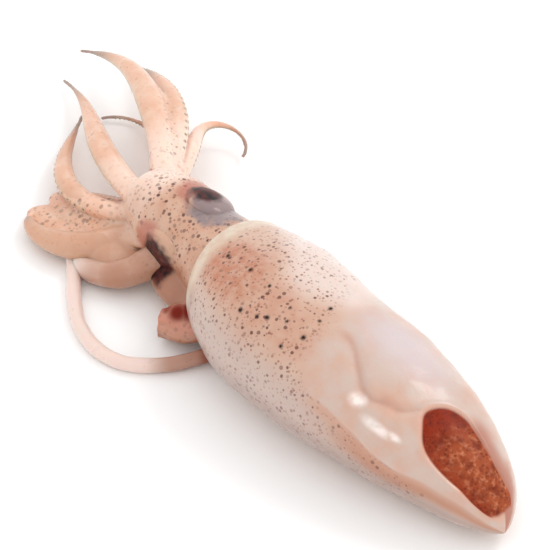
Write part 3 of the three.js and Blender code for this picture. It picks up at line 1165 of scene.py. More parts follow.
@dataclass(frozen=True)
class Folds:
    """Both tail fins, folded up over the back: where they lie on the mantle and how thick they are."""

    girth: float = 17.0
    left_thickness: float = 0.8
    right_thickness: float = 1.5
    rear_thickness: float = 0.55
    rear: Step = Step(0.6, 0.86)
    over_valley: Step = Step(-1.5, 3.0)
    swell: float = 0.35
    swell_reach: float = 3.0
    groove: float = 0.95
    groove_reach: float = 1.7
    groove_along: Band = Band(0.42, 0.5, 0.70, 0.745)
    left_edge: Step = Step(-1.9, 1.1)
    right_edge: Step = Step(-1.6, 0.9)
    tail_blur: float = 2.4
    blurred: Step = Step(0.74, 0.95)
    front_tint: Step = Step(0.0, 7.0)
    front_rise: Step = Step(-2.0, 20.0)
    tail_end: Step = Step(1.0, 0.9)
    lip_ramp: Step = Step(0.0, 1.0)
    lip_roll: float = 0.12
    lip_middle: float = 1.1
    lip_reach: float = 0.9
    thinning: float = 0.35
    thinned: Step = Step(8.0, 1.0)
    waves: Sequence[Waves] = (Waves(0.22, 19.0, 1.9), Waves(0.1, 8.0, 4.2))
    calm: float = 0.35
    wavy: Step = Step(70.0, 25.0)
    creased: Oval = Oval(0.66, -36.0, 0.13, 26.0, 0.2)
    creases: Waves = Waves(0.36, 4.6, 0.4)
    crease_slant: float = 0.7
    crease_stretch: float = 0.4
    window_corners: int = 90
    left_fold: Line = Line(
        (0.405, 0.5, 0.56, 0.61, 0.66, 0.71, 0.765, 0.8, 0.85, 0.89, 0.94, 0.985),
        (-62, -57, -57, -60, -64, -69, -71, -68, -64, -62, -60, -66),
    )
    right_fold: Line = Line((0.3, 0.5, 1.0), (92, 98, 98))
    valley: Line = Line(
        (0.405, 0.45, 0.5, 0.56, 0.608, 0.64, 0.662, 0.71, 0.735),
        (-10, -5, -6, -18, -29, -30, -26, -20, -6),
    )
    front: Line = Line(
        (-62, -42, -23, -12, 3, 17, 44, 95),
        (0.475, 0.425, 0.41, 0.41, 0.403, 0.395, 0.357, 0.30),
    )
    window: Sequence[tuple[float, float]] = (
        (0.986, 10), (0.984, -28), (0.974, -46), (0.951, -47), (0.914, -43.5), (0.875, -43), (0.835, -40),
        (0.799, -34), (0.768, -22), (0.742, -9), (0.746, 3), (0.764, 14), (0.795, 20.5), (0.83, 22),
        (0.874, 22), (0.914, 23), (0.945, 29), (0.966, 42), (0.98, 46),
    )

    def arc(self, degrees: Array) -> Array:
        """Length of an arc over the body."""
        return np.radians(degrees) * self.girth

    def behind_front(self, station: Array, angle: Array) -> Array:
        """How far each place lies behind the front edge of the fins, in millimetres."""
        return (station - self.front.at(angle)) * FORM.length

    def past_fold(self, station: Array, angle: Array) -> Array:
        """How far each place lies to the right of the left fold, in millimetres."""
        return self.arc(angle - self.left_fold.at(station))

    def past_valley(self, station: Array, angle: Array) -> Array:
        """How far each place lies to the right of the valley, in millimetres."""
        return self.arc(angle - self.valley.at(station))

    def in_window(self, station: Array, angle: Array) -> Array:
        """Measures places against the bare oval between the fins.

        Args:
            station: place along the body.
            angle: degrees from the top towards the right side.

        Returns:
            How far each place lies inside it, in millimetres.
        """
        corners = np.array([(at * FORM.length, self.arc(turn), 0.0) for at, turn in self.window])
        outline = catmull_rom(corners, self.window_corners)[:, :2]
        chart = np.stack([station * FORM.length, self.arc(angle)], axis=-1)
        return inside_by(outline, chart.reshape(-1, 2)).reshape(chart.shape[:2])

    def cover(self, station: Array, angle: Array) -> Array:
        """Judges what lies under the fins.

        Args:
            station: place along the body.
            angle: degrees from the top towards the right side.

        Returns:
            How much of each place lies under them, the bare oval included.
        """
        left = self.past_fold(station, angle) / (1.0 + self.tail_blur * self.blurred.at(station))
        right = self.arc(self.right_fold.at(station) - angle)
        sides = self.left_edge.at(left) * self.right_edge.at(right)
        return self.front_tint.at(self.behind_front(station, angle)) * sides

    def height_at(self, station: Array, angle: Array, inside: Array) -> Array:
        """How far the fins raise the skin.

        Args:
            station: place along the body.
            angle: degrees from the top towards the right side.
            inside: how far each place lies inside the bare oval.

        Returns:
            The rise in millimetres.
        """
        past = self.past_valley(station, angle)
        right = self.right_thickness + (self.rear_thickness - self.right_thickness) * self.rear.at(station)
        thickness = self.left_thickness + (right - self.left_thickness) * self.over_valley.at(past)
        thickness = thickness * (1.0 - self.thinning * self.thinned.at(-inside))
        ridge = self.swell * bell(self.past_fold(station, angle), self.swell_reach)
        roll = self.lip_roll * bell(inside + self.lip_middle, self.lip_reach)
        groove = self.groove * bell(past, self.groove_reach) * self.groove_along.at(station)
        rise = thickness + ridge + roll - groove + self.waves_at(station, angle)
        rise = rise * self.front_rise.at(self.behind_front(station, angle)) * self.cover(station, angle)
        return rise * self.lip_ramp.at(-inside) * self.tail_end.at(station)

    def waves_at(self, station: Array, angle: Array) -> Array:
        """Soft creases of the fins, closer together beside the valley.

        Args:
            station: place along the body.
            angle: degrees from the top towards the right side.

        Returns:
            Their rise in millimetres.
        """
        along = station * FORM.length
        arc = self.arc(angle)
        waves = sum(wave.at(along, arc) for wave in self.waves)
        waves = waves * (self.calm + (1.0 - self.calm) * self.wavy.at(angle))
        creases = self.creases.at(along + self.crease_slant * arc, self.crease_stretch * arc)
        return waves + self.creased.cover(station, angle) * creases


FOLDS = Folds()


@dataclass(frozen=True)
class SkinMap:
    """Where each tint, each patch of painted light and shade and each kind of spot lies on the mantle and its
    fins.
    """

    tan_patch: Oval = Oval(0.125, -24.0, 0.16, 34.0)
    tan_band: Oval = Oval(0.30, -30.0, 0.20, 30.0)
    tan_band_share: float = 0.35
    amber: Oval = Oval(0.675, -24.0, 0.09, 18.0, 0.1)
    gleam: Oval = Oval(0.58, 22.0, 0.20, 34.0, 0.2)
    glints: Sequence[Oval] = (
        Oval(0.614, -37.5, 0.030, 9.0, 0.2),
        Oval(0.690, -46.0, 0.060, 7.0, 0.2),
        Oval(0.735, -43.5, 0.026, 5.0, 0.2),
    )
    belly: Step = Step(100.0, 150.0)
    belly_loss: float = 0.6
    rim_from: float = 0.022
    rim_to: float = 0.066
    ink_radius: float = 0.56
    ink_least: float = 0.75
    ink_spread: float = 0.5
    ink_edge: Step = Step(1.3, 0.5)
    ink_girth: float = 0.9
    ink_spots: Sequence[tuple[float, float]] = (
        (0.328, -16), (0.39, 4), (0.403, -9), (0.41, -26), (0.383, -41), (0.35, -25),
        (0.307, -32), (0.285, -36), (0.238, -41), (0.085, -19), (0.247, -15), (0.173, -16),
    )
    spots_end: Line = Line(
        (-180, -110, -72, -66, -58, -48, -29, -11, 23, 44, 95, 130, 180),
        (0.82, 0.82, 0.8, 0.66, 0.585, 0.49, 0.455, 0.45, 0.385, 0.355, 0.35, 0.7, 0.8),
    )
    spots_edge: Step = Step(0.01, -0.05)
    right_sparse: Step = Step(5.0, 45.0)
    right_loss: float = 0.4
    left_sparse: Step = Step(-50.0, -75.0)
    left_loss: float = 0.35
    # where the painted light on the upper right of the mantle begins and fades
    pale_left: Line = Line((0.0, 0.1, 0.2, 0.28, 0.37, 0.5, 1.0), (40, 27, 4, -8, 2, 12, 12))
    pale_edge: Step = Step(-8.0, 22.0)
    pale_right: Step = Step(125.0, 80.0)
    # painted shade on the lower left flank, weaker on the belly and below the left fold
    flank_shade: Step = Step(-40.0, -75.0)
    flank_under_loss: float = 0.7
    # painted shade along the lowest edge of the mantle, next to the floor
    low: Step = Step(-78.0, -105.0)
    # painted shade in the crease under the left fin's fold
    crease_along: Band = Band(0.48, 0.56, 0.8, 0.93)
    crease_across: Band = Band(-5.0, -1.2, -0.6, 0.4)
    # painted shade in the band just below the left fin's fold
    under_along: Step = Step(0.5, 0.72)
    under_across: Band = Band(-11.0, -5.0, -1.5, 0.5)
    # painted shade along the valley between the two fins
    valley_shade_along: Band = Band(0.42, 0.5, 0.69, 0.75)
    valley_shade_reach: float = 0.9
    lip: Step = Step(1.5, 0.2)
    shade: Step = Step(9.0, 1.0)
    shade_along: Step = Step(0.78, 0.84)
    shade_right: Step = Step(5.0, 18.0)
    bare: Step = Step(-0.45, 0.1)
    bare_light_along: Step = Step(0.77, 0.86)
    bare_light_side: Step = Step(75.0, 25.0)
    bare_light_middle: float = 15.0

    def ink(self, station: Array, angle: Array) -> Array:
        """Sets the few large dark spots.

        Args:
            station: place along the body.
            angle: degrees from the top towards the right side.

        Returns:
            How much of them lies on each place.
        """
        cover = np.zeros(np.broadcast(station, angle).shape)
        width = FORM.width_at(station) * self.ink_girth
        for index, (at, bearing) in enumerate(self.ink_spots):
            gap = np.hypot((station - at) * FORM.length, np.radians(angle - bearing) * width)
            size = self.ink_radius * (self.ink_least + self.ink_spread * math.modf(index * GOLDEN)[0])
            cover = np.maximum(cover, self.ink_edge.at(gap / size))
        return cover

    def spots(self, station: Array, angle: Array, belly: Array) -> Array:
        """Judges how thickly the skin is speckled.

        Args:
            station: place along the body.
            angle: degrees from the top towards the right side.
            belly: how much each place belongs to the belly.

        Returns:
            The share of the spots that shows.
        """
        cover = self.spots_edge.at(station - self.spots_end.at(angle)) * (1.0 - self.belly_loss * belly)
        loss = self.right_loss * self.right_sparse.at(angle) + self.left_loss * self.left_sparse.at(angle)
        return cover * (1.0 - loss) * smooth(self.rim_from, self.rim_to, station)

    def masks(self, station: Array, angle: Array, inside: Array) -> dict[str, Array]:
        """Every mask of the skin.

        Args:
            station: place along the body of each point.
            angle: degrees from the top towards the right side.
            inside: how far each point lies inside the bare oval, in millimetres.

        Returns:
            The numbers by name.
        """
        belly = self.belly.at(np.abs(angle))
        # painted light on the upper right of the mantle
        pale = self.pale_edge.at(angle - self.pale_left.at(station)) * self.pale_right.at(angle)
        tan_band = self.tan_band_share * self.tan_band.cover(station, angle)
        tan = np.maximum(self.tan_patch.cover(station, angle), tan_band)
        fin = FOLDS.cover(station, angle)
        past_fold = FOLDS.past_fold(station, angle)
        # painted shade in the band just below the left fin's fold
        under = self.under_along.at(station) * self.under_across.at(past_fold)
        # painted shade along the valley between the two fins
        valley_shade = bell(FOLDS.past_valley(station, angle), self.valley_shade_reach) * self.valley_shade_along.at(station)
        outside = np.clip(-inside, 0.0, None)
        shaded = self.shade_right.at(angle) * self.shade_along.at(station)
        bare_light = self.bare_light_side.at(np.abs(angle - self.bare_light_middle))
        # painted shade on the lower left flank
        flank_shade = self.flank_shade.at(angle) * (1.0 - self.belly_loss * belly)
        return {
            "spots": self.spots(station, angle, belly) * (1.0 - fin),
            "pale": pale * (1.0 - tan),
            "flank_shade": flank_shade * (1.0 - self.flank_under_loss * under),
            "under": under,
            # painted shade along the lowest edge of the mantle
            "low": self.low.at(angle) * (1.0 - belly),
            "patch": tan,
            "ink": self.ink(station, angle),
            "rim": smooth(self.rim_to, self.rim_from, station),
            "bare": self.bare.at(inside),
            "bare_light": self.bare_light_along.at(station) * bare_light,
            "fin": fin,
            "gleam": self.gleam.cover(station, angle),
            "amber": self.amber.cover(station, angle),
            "glint": np.max([glint.cover(station, angle) for glint in self.glints], axis=0),
            "valley_shade": valley_shade,
            "lip": self.lip.at(outside) * (1.0 - shaded),
            "shade": self.shade.at(outside) * shaded,
            # painted shade in the crease under the left fin's fold
            "crease_shade": self.crease_across.at(past_fold) * self.crease_along.at(station),
        }


SKIN_MAP = SkinMap()


@dataclass
class MantleAndFins:
    """Mantle and tail fins in one skin: round collar rim, sleeve round the neck, fins folded on the back."""

    rim_thickness: float = 2.2
    sleeve_depth: float = 5.5
    sleeve_floor: Sequence[float] = (0.02, 0.4, 0.75, 0.95)
    sleeve_wall: Sequence[float] = (0.85, 0.6, 0.4)
    tip_radius: float = 0.02
    tail_crowding: float = 1.25
    around: int = 300
    steps: int = 298
    rim_steps: int = 14
    waves: Sequence[Waves] = (Waves(0.26, 23.0, 0.7), Waves(0.1, 9.0, 2.1))
    waves_along: Band = Band(0.01, 0.1, 0.85, 1.0)

    def rows(self) -> tuple[Array, Array, int]:
        """The rings from the bottom of the sleeve to the tail tip.

        Returns:
            Their stations, their radii and how many of them line the sleeve.
        """
        collar = float(FORM.width_at(np.array(0.0)))
        inner = collar - self.rim_thickness
        half = self.rim_thickness / 2.0
        sleeve = [(self.sleeve_depth, inner * share) for share in self.sleeve_floor]
        sleeve += [(self.sleeve_depth * share, inner) for share in self.sleeve_wall]
        turn = np.linspace(math.pi, 0.0, self.rim_steps)
        rim = np.stack([half - half * np.sin(turn), collar - half + half * np.cos(turn)], axis=-1)
        share = np.arange(1, self.steps) / self.steps
        station = 1.0 - (1.0 - share) ** self.tail_crowding * (1.0 - half / FORM.length)
        outer = np.stack([station * FORM.length, FORM.width_at(station)], axis=-1)
        tip = np.array([[FORM.length, self.tip_radius]])
        path = np.concatenate([np.array(sleeve), rim, outer, tip])
        return path[:, 0] / FORM.length, path[:, 1], len(sleeve)

    def relief(self, station: Array, angle: Array) -> Array:
        """Low waves of limp skin.

        Args:
            station: place along the body.
            angle: degrees from the top towards the right side.

        Returns:
            Their rise in millimetres.
        """
        waves = sum(wave.at(station * FORM.length, FOLDS.arc(angle)) for wave in self.waves)
        return waves * self.waves_along.at(station)

    def build(self) -> list[bpy.types.Object]:
        """Makes mantle and fins.

        Returns:
            The one piece made.
        """
        station, radius, sleeve = self.rows()
        angle = np.arange(self.around) * 360.0 / self.around - 180.0
        stations, angles = np.meshgrid(station, angle, indexing="ij")
        outside = np.arange(len(station))[:, None] >= sleeve
        inside = FOLDS.in_window(stations, angles)
        raised = self.relief(stations, angles) + FOLDS.height_at(stations, angles, inside)
        rings = FORM.point(stations, angles, radius[:, None] + raised * outside)
        mesh = Shell.from_rings(rings).mesh("mantle_and_fins")
        masks = SKIN_MAP.masks(stations, angles, inside)
        masks["spots"] = masks["spots"] * outside
        paint(mesh, masks)
        return [add_piece("mantle_and_fins", mesh, BODY_SKIN)]


# ------------------------------------------------------------------------------ limbs


FLESH_MASKS = (
    "arm", "edge", "cream", "low_shade", "seam", "tip", "spots",
    "stalk", "under_shade", "sore", "crevice_shade", "red", "haze", "dark",
)


def paint_flesh(mesh: bpy.types.Mesh, known: dict[str, Array]) -> None:
    """Paints the masks of the flesh, with the painted shade that every piece of it shares.

    Args:
        mesh: the mesh to paint.
        known: the masks that differ from 0, by name.
    """
    points = mesh_points(mesh)
    masks = {name: np.zeros(len(points)) for name in FLESH_MASKS}
    masks |= {"under_shade": shade_cover(points, UNDER_SHADE), "crevice_shade": shade_cover(points, CREVICE_SHADE)}
    for name, values in known.items():
        masks[name] = np.maximum(masks[name], per_point(values, len(points)))
    paint(mesh, masks)


@dataclass
class Limb:
    """A centre line with a radius at each of its points."""

    spine: Array
    radii: Array
    flatten: float = 1.0
    keel: float = 0.0
    keel_power: int = 6

    def frame(self) -> tuple[Array, Array, Array]:
        """Gives the directions of the limb.

        Returns:
            Directions along, to the side and over it, at each of its points.
        """
        along = unit(np.gradient(self.spine, axis=0))
        side = unit(np.cross(np.array((0.0, 0.0, 1.0)), along))
        return along, side, np.cross(along, side)

    def rings(self, around: int) -> Array:
        """Lays rings round the centre line.

        Args:
            around: points in each ring.

        Returns:
            The points by ring and by place round the limb.
        """
        _, side, over = self.frame()
        wide = np.cos(turns(around))
        tall = np.sin(turns(around))
        tall = tall * self.flatten * (1.0 + self.keel * np.clip(tall, 0.0, 1.0) ** self.keel_power)
        sideways = side[:, None] * (self.radii[:, None] * wide)[..., None]
        upward = over[:, None] * (self.radii[:, None] * tall)[..., None]
        return self.spine[:, None] + sideways + upward

    def shell(self, around: int) -> Shell:
        """The skin of the limb."""
        return Shell.from_rings(self.rings(around))


@dataclass(frozen=True)
class HeadForm:
    """Place and size of the head; its top leans to the left."""

    centre: Spot = (-58.2, 1.6, 12.4)
    roll: float = -31.0
    height_share: float = 0.86
    neck_back: float = 24.5
    neck_rise: float = 0.4
    crown_front: float = 17.5
    crown: Spot = (-70.0, 2.5, 11.6)
    crown_ring: float = 4.6
    crown_roll: float = 10.0


HEAD = HeadForm()


@dataclass
class Arm:
    """One arm: its place on the crown, how it lies and how thick it is."""

    bearing: float
    aim: float
    bend: float
    hook: float
    hook_from: float
    length: float
    radius: float
    full: float
    rest: float
    lift: float
    sucker_turn: float
    steps: int = 90
    flatten: float = 0.8
    keel: float = 0.08
    root_share: float = 0.66
    swell: float = 0.55
    thinnest: float = 0.5

    def limb(self) -> Limb:
        """Lays the arm down step by step from the crown.

        Returns:
            Its centre line and radius.
        """
        root = np.array(HEAD.crown) + HEAD.crown_ring * across(self.bearing + HEAD.crown_roll)
        middle = (np.arange(self.steps) + 0.5) / self.steps
        hooked = np.clip((middle - self.hook_from) / (1.0 - self.hook_from), 0.0, None) ** 2
        heading = np.radians(self.aim + self.bend * middle + self.hook * hooked)
        stride = self.length / self.steps
        x = root[0] - np.append(0.0, np.cumsum(np.cos(heading) * stride))
        y = root[1] + np.append(0.0, np.cumsum(np.sin(heading) * stride))
        t = np.linspace(0.0, 1.0, self.steps + 1)
        z = self.rest + (root[2] - self.rest) * (1.0 - t) ** 2 + self.lift * np.sin(math.pi * t)
        z[0] = root[2]
        fullness = self.root_share + (1.0 - self.root_share) * smooth(0.0, self.swell, t)
        radii = np.maximum(self.thinnest, self.radius * fullness * (1.0 - t**self.full))
        return Limb(np.stack([x, y, z], axis=-1), radii, self.flatten, self.keel)


ARMS = {
    "left_first": Arm(20, 39, -26, -32, 0.54, 65, 3.8, 2.6, 3.5, 8, 265),
    "right_first": Arm(40, 53, -39, -12, 0.51, 55, 3.1, 3.0, 4.0, 6, 160),
    "right_second": Arm(68, 63, -30, 229, 0.43, 42, 3.4, 1.0, 2.0, 6, 200),
    "left_second": Arm(-68, 7, 43, -43, 0.46, 59, 5.0, 1.1, 1.5, 5, 215),
    "left_third": Arm(-112, -47, 160, -62, 0.39, 53, 3.8, 1.5, 2.0, 2.5, -12),
    "left_fourth": Arm(-158, -107, 150, 113, 0.75, 41, 4.6, 2.2, 2.8, 1, 190),
    "right_third": Arm(112, 60, -46, 2, 0.35, 44, 2.6, 1.3, 1.6, 0, 20),
    "right_fourth": Arm(158, 58, -57, -72, 0.52, 49, 2.6, 1.2, 1.5, 0, 20),
}


@dataclass
class Tentacle:
    """One long tentacle: a fleshy root, an even stalk and, where it has one, a leaf-shaped club."""

    side: Side
    root: float
    thin_from: float
    club: float
    route: Sequence[Spot]
    # strength of the painted shade where the tentacle's end runs under the mantle
    tucked: float = 0.0
    stalk: float = 1.75
    steps: int = 420
    club_share: float = 0.24
    club_fullness: float = 0.8
    club_tip: float = 0.25
    taper_share: float = 0.14
    root_shrink: float = 0.7
    uneven: float = 0.03
    beats: tuple[float, float] = (61.0, 23.0)
    around: int = 30
    spots: float = 0.4
    spots_along: Step = Step(0.1, 0.0)
    paling: tuple[float, float] = (0.35, 0.9)
    # painted shade on the fleshy root, which lies under the head, and on the end tucked under the mantle
    root_under_shade: float = 0.5
    tuck_along: Step = Step(0.84, 0.91)

    def limb(self) -> Limb:
        """Draws the tentacle along its route.

        Returns:
            Its centre line and radius.
        """
        t = np.linspace(0.0, 1.0, self.steps)
        fleshy = (self.root - self.stalk) * np.clip(1.0 - t / self.thin_from, 0.0, None) ** self.root_shrink
        leaf_at = np.clip((t - 1.0 + self.club_share) / self.club_share, 0.0, 1.0)
        leaf = self.club * np.clip(np.sin(math.pi * leaf_at), 0.0, None) ** self.club_fullness
        tip = np.clip((t - 1.0 + self.taper_share) / self.taper_share, 0.0, 1.0)
        taper = 1.0 - (1.0 - self.club_tip) * tip if self.club > 0.0 else 1.0
        waves = 1.0 + self.uneven * np.sin(t * self.beats[0]) * np.sin(t * self.beats[1] + 1.0)
        radii = (self.stalk * taper + fleshy + leaf) * waves
        return Limb(catmull_rom(np.array(self.route, float), self.steps), radii)

    def build(self) -> list[bpy.types.Object]:
        """Makes the tentacle.

        Returns:
            The one piece made.
        """
        name = f"tentacle_{self.side.value}"
        mesh = self.limb().shell(self.around).mesh(name)
        t = np.repeat(np.linspace(0.0, 1.0, self.steps), self.around)
        start, end = (self.thin_from * share for share in self.paling)
        under_shade = self.root_under_shade * smooth(self.thin_from, 0.0, t)
        known = {
            "spots": self.spots_along.at(t) * self.spots,
            "stalk": smooth(start, end, t),
            "under_shade": np.maximum(under_shade, self.tuck_along.at(t) * self.tucked),
        }
        paint_flesh(mesh, known)
        return [add_piece(name, mesh, FLESH)]


@dataclass(frozen=True)
class Web:
    """A flat tongue of skin that joins the bases of two arms."""

    thickness: float
    half_width: float
    full: float
    route: Sequence[Spot]
    thinnest: float = 0.5
    steps: int = 60

    def limb(self) -> Limb:
        """Draws the web along its route.

        Returns:
            Its centre line and half width.
        """
        t = np.linspace(0.0, 1.0, self.steps)
        radii = np.maximum(self.thinnest, self.half_width * np.sqrt(np.clip(1.0 - t**self.full, 0.0, None)))
        return Limb(bend(self.route, self.steps), radii, self.thickness / self.half_width / 2.0)


WEBS = {
    "upper": Web(4.0, 7.5, 2.8, ((-63, -1, 9.5), (-76, -6, 6.5), (-95, -8.5, 2.4))),
    "lower": Web(3.0, 6.5, 3.5, ((-68, -6, 6), (-80, -11, 4), (-94.5, -16, 2.2))),
    "top": Web(4.2, 4.0, 3.0, ((-74, 9, 14.4), (-88, 20.5, 14.8), (-104, 26.5, 12.4))),
}


@dataclass(frozen=True)
class FleshMap:
    """Where each tint, the painted shade and the painted rim lie on head and arms; ahead of the head's middle
    is negative.
    """

    arm: Step = Step(-10.0, -20.0)
    # where the painted translucent rim lies: the sides of each arm
    edge: Step = Step(0.5, 0.05)
    cream_along: Band = Band(-32.0, -20.0, -9.0, -2.0)
    cream_high: Step = Step(8.0, 12.0)
    cream_left: float = 0.35
    cream_side: Step = Step(-6.0, 3.0)
    # painted shade low down and on the left side
    low_shade_height: Step = Step(9.5, 4.5)
    low_shade_left: Step = Step(-5.0, -13.0)
    seam_gap: Step = Step(1.3, 0.1)
    seam_near: Step = Step(1.2, 0.4)
    seam_along: Step = Step(-12.0, -20.0)
    tip: Step = Step(0.74, 0.98)
    spots_along: Step = Step(-26.0, -18.0)
    spots_dense: Step = Step(-15.0, -6.0)
    spots_least: float = 0.2
    spots_high: Step = Step(-3.0, 2.0)
    spots_middle: float = 8.0
    spots_slant: float = 0.35
    arm_spots: float = 0.1
    web_spots: float = 0.55

    def masks(self, points: Array, nearest: tuple[Array, Array, Array], webs: int) -> dict[str, Array]:
        """Judges each point by the limb that it lies nearest to.

        Args:
            points: the points of the melted skin.
            nearest: gap, share of the way along and lift of each point by limb, the head first.
            webs: how many webs come after the head and before the arms.

        Returns:
            The painted numbers by name.
        """
        gaps, shares, lifts = nearest
        owner = gaps.argmin(axis=0)
        here = np.arange(len(points))
        is_arm = owner > webs
        is_web = (owner > 0) & ~is_arm
        ranked = np.sort(gaps[webs + 1 :], axis=0)
        from_head, right, high = (points - np.array((HEAD.centre[0], 0.0, 0.0))).T
        arm = self.arm.at(from_head)
        cream = self.cream_along.at(from_head) * self.cream_high.at(high)
        top = high - self.spots_middle + self.spots_slant * (right - HEAD.centre[1])
        spots = self.spots_least + (1.0 - self.spots_least) * self.spots_dense.at(from_head)
        spots = spots * self.spots_along.at(from_head) * self.spots_high.at(top)
        seam = self.seam_gap.at(ranked[1] - ranked[0]) * self.seam_near.at(ranked[0]) * is_arm
        return {
            "arm": arm,
            # painted translucent rim along the sides of the arms
            "edge": self.edge.at(np.abs(lifts[owner, here])) * is_arm * arm,
            "cream": cream * (self.cream_left + (1.0 - self.cream_left) * self.cream_side.at(right)),
            # painted shade low down and on the left, not on the webs
            "low_shade": np.maximum(self.low_shade_height.at(high), self.low_shade_left.at(right)) * ~is_web,
            "seam": seam * self.seam_along.at(from_head),
            "tip": self.tip.at(shares[owner, here]) * is_arm,
            "spots": np.maximum(spots, arm * np.where(is_web, self.web_spots, self.arm_spots)),
        }


@dataclass
class HeadAndArms:
    """Head, neck, throat, chin, arm crown and webs, melted into one skin."""

    voxel: float = 0.36
    relax: int = 4
    profile: Sequence[tuple[float, float]] = (
        (0.0, 11.2), (0.18, 11.2), (0.42, 10.2), (0.63, 10.4), (0.80, 9.0), (0.93, 6.8), (1.0, 0.0),
    )
    head_steps: int = 120
    head_around: int = 96
    head_tip: float = 0.3
    throat: tuple[Spot, Spot] = ((-47.5, -5.5, 5.4), (12.0, 7.6, 5.0))
    chin: tuple[Spot, Spot] = ((-68.0, -11.5, 4.6), (9.5, 6.2, 3.8))
    web_around: int = 48
    arm_around: int = 24
    batch: int = 8000
    least_radius: float = 0.4
    tints: FleshMap = FleshMap()

    def head_limb(self) -> Limb:
        """Draws head and neck along their profile.

        Returns:
            Their centre line and radius.
        """
        curve = catmull_rom(np.array([[radius, at, 0.0] for at, radius in self.profile]), self.head_steps)
        place = np.maximum.accumulate(curve[:, 1])
        x = HEAD.centre[0] + HEAD.neck_back - (HEAD.neck_back + HEAD.crown_front) * place
        back = np.clip((x - HEAD.centre[0]) / HEAD.neck_back, 0.0, 1.0)
        spine = np.stack([x, HEAD.centre[1] * (1.0 - back), HEAD.centre[2] + HEAD.neck_rise * back], axis=-1)
        return Limb(spine, np.maximum(self.head_tip, curve[:, 0]))

    def head_shell(self) -> Shell:
        """Skins the head, whose section is wider than it is tall.

        Returns:
            Its closed surface.
        """
        limb = self.head_limb()
        turn = turns(self.head_around)
        side = across(90.0 + HEAD.roll) * np.cos(turn)[:, None]
        top = across(HEAD.roll) * np.sin(turn)[:, None] * HEAD.height_share
        return Shell.from_rings(limb.spine[:, None] + limb.radii[:, None, None] * (side + top))

    def nearest(self, points: Array, limbs: Sequence[Limb]) -> tuple[Array, Array, Array]:
        """Measures each point against each limb.

        Args:
            points: the points of the melted skin.
            limbs: the limbs that it is made of.

        Returns:
            Distance from each limb's own surface, share of the way along it, and lift over its middle.
        """
        gaps, shares, lifts = np.empty((3, len(limbs), len(points)))
        for row, limb in enumerate(limbs):
            over = limb.frame()[2]
            for start in range(0, len(points), self.batch):
                part = points[start : start + self.batch]
                off = part[:, None] - limb.spine[None]
                gap = np.linalg.norm(off, axis=2) - limb.radii
                best = gap.argmin(axis=1)
                here = np.arange(len(part))
                window = slice(start, start + len(part))
                gaps[row, window] = gap[here, best]
                shares[row, window] = best / (len(limb.spine) - 1)
                lift = np.einsum("ij,ij->i", off[here, best], over[best])
                lifts[row, window] = lift / np.maximum(limb.radii[best], self.least_radius)
        return gaps, shares, lifts

    def build(self) -> list[bpy.types.Object]:
        """Makes the melted skin of head and arms.

        Returns:
            The one piece made.
        """
        webs = [web.limb() for web in WEBS.values()]
        arms = [arm.limb() for arm in ARMS.values()]
        shells = [self.head_shell(), Shell.oval(*self.throat), Shell.oval(*self.chin)]
        shells += [eye.orbit() for eye in EYES]
        shells += [limb.shell(self.web_around) for limb in webs]
        shells += [limb.shell(self.arm_around) for limb in arms]
        mesh = fused(shells, self.voxel, self.relax, "head_and_arms")
        points = mesh_points(mesh)
        nearest = self.nearest(points, [self.head_limb(), *webs, *arms])
        masks = self.tints.masks(points, nearest, len(webs))
        left, right = (eye.tints(points) for eye in EYES)
        masks |= {name: np.maximum(left[name], right[name]) for name in left}
        paint_flesh(mesh, masks)
        return [add_piece("head_and_arms", mesh, FLESH)]


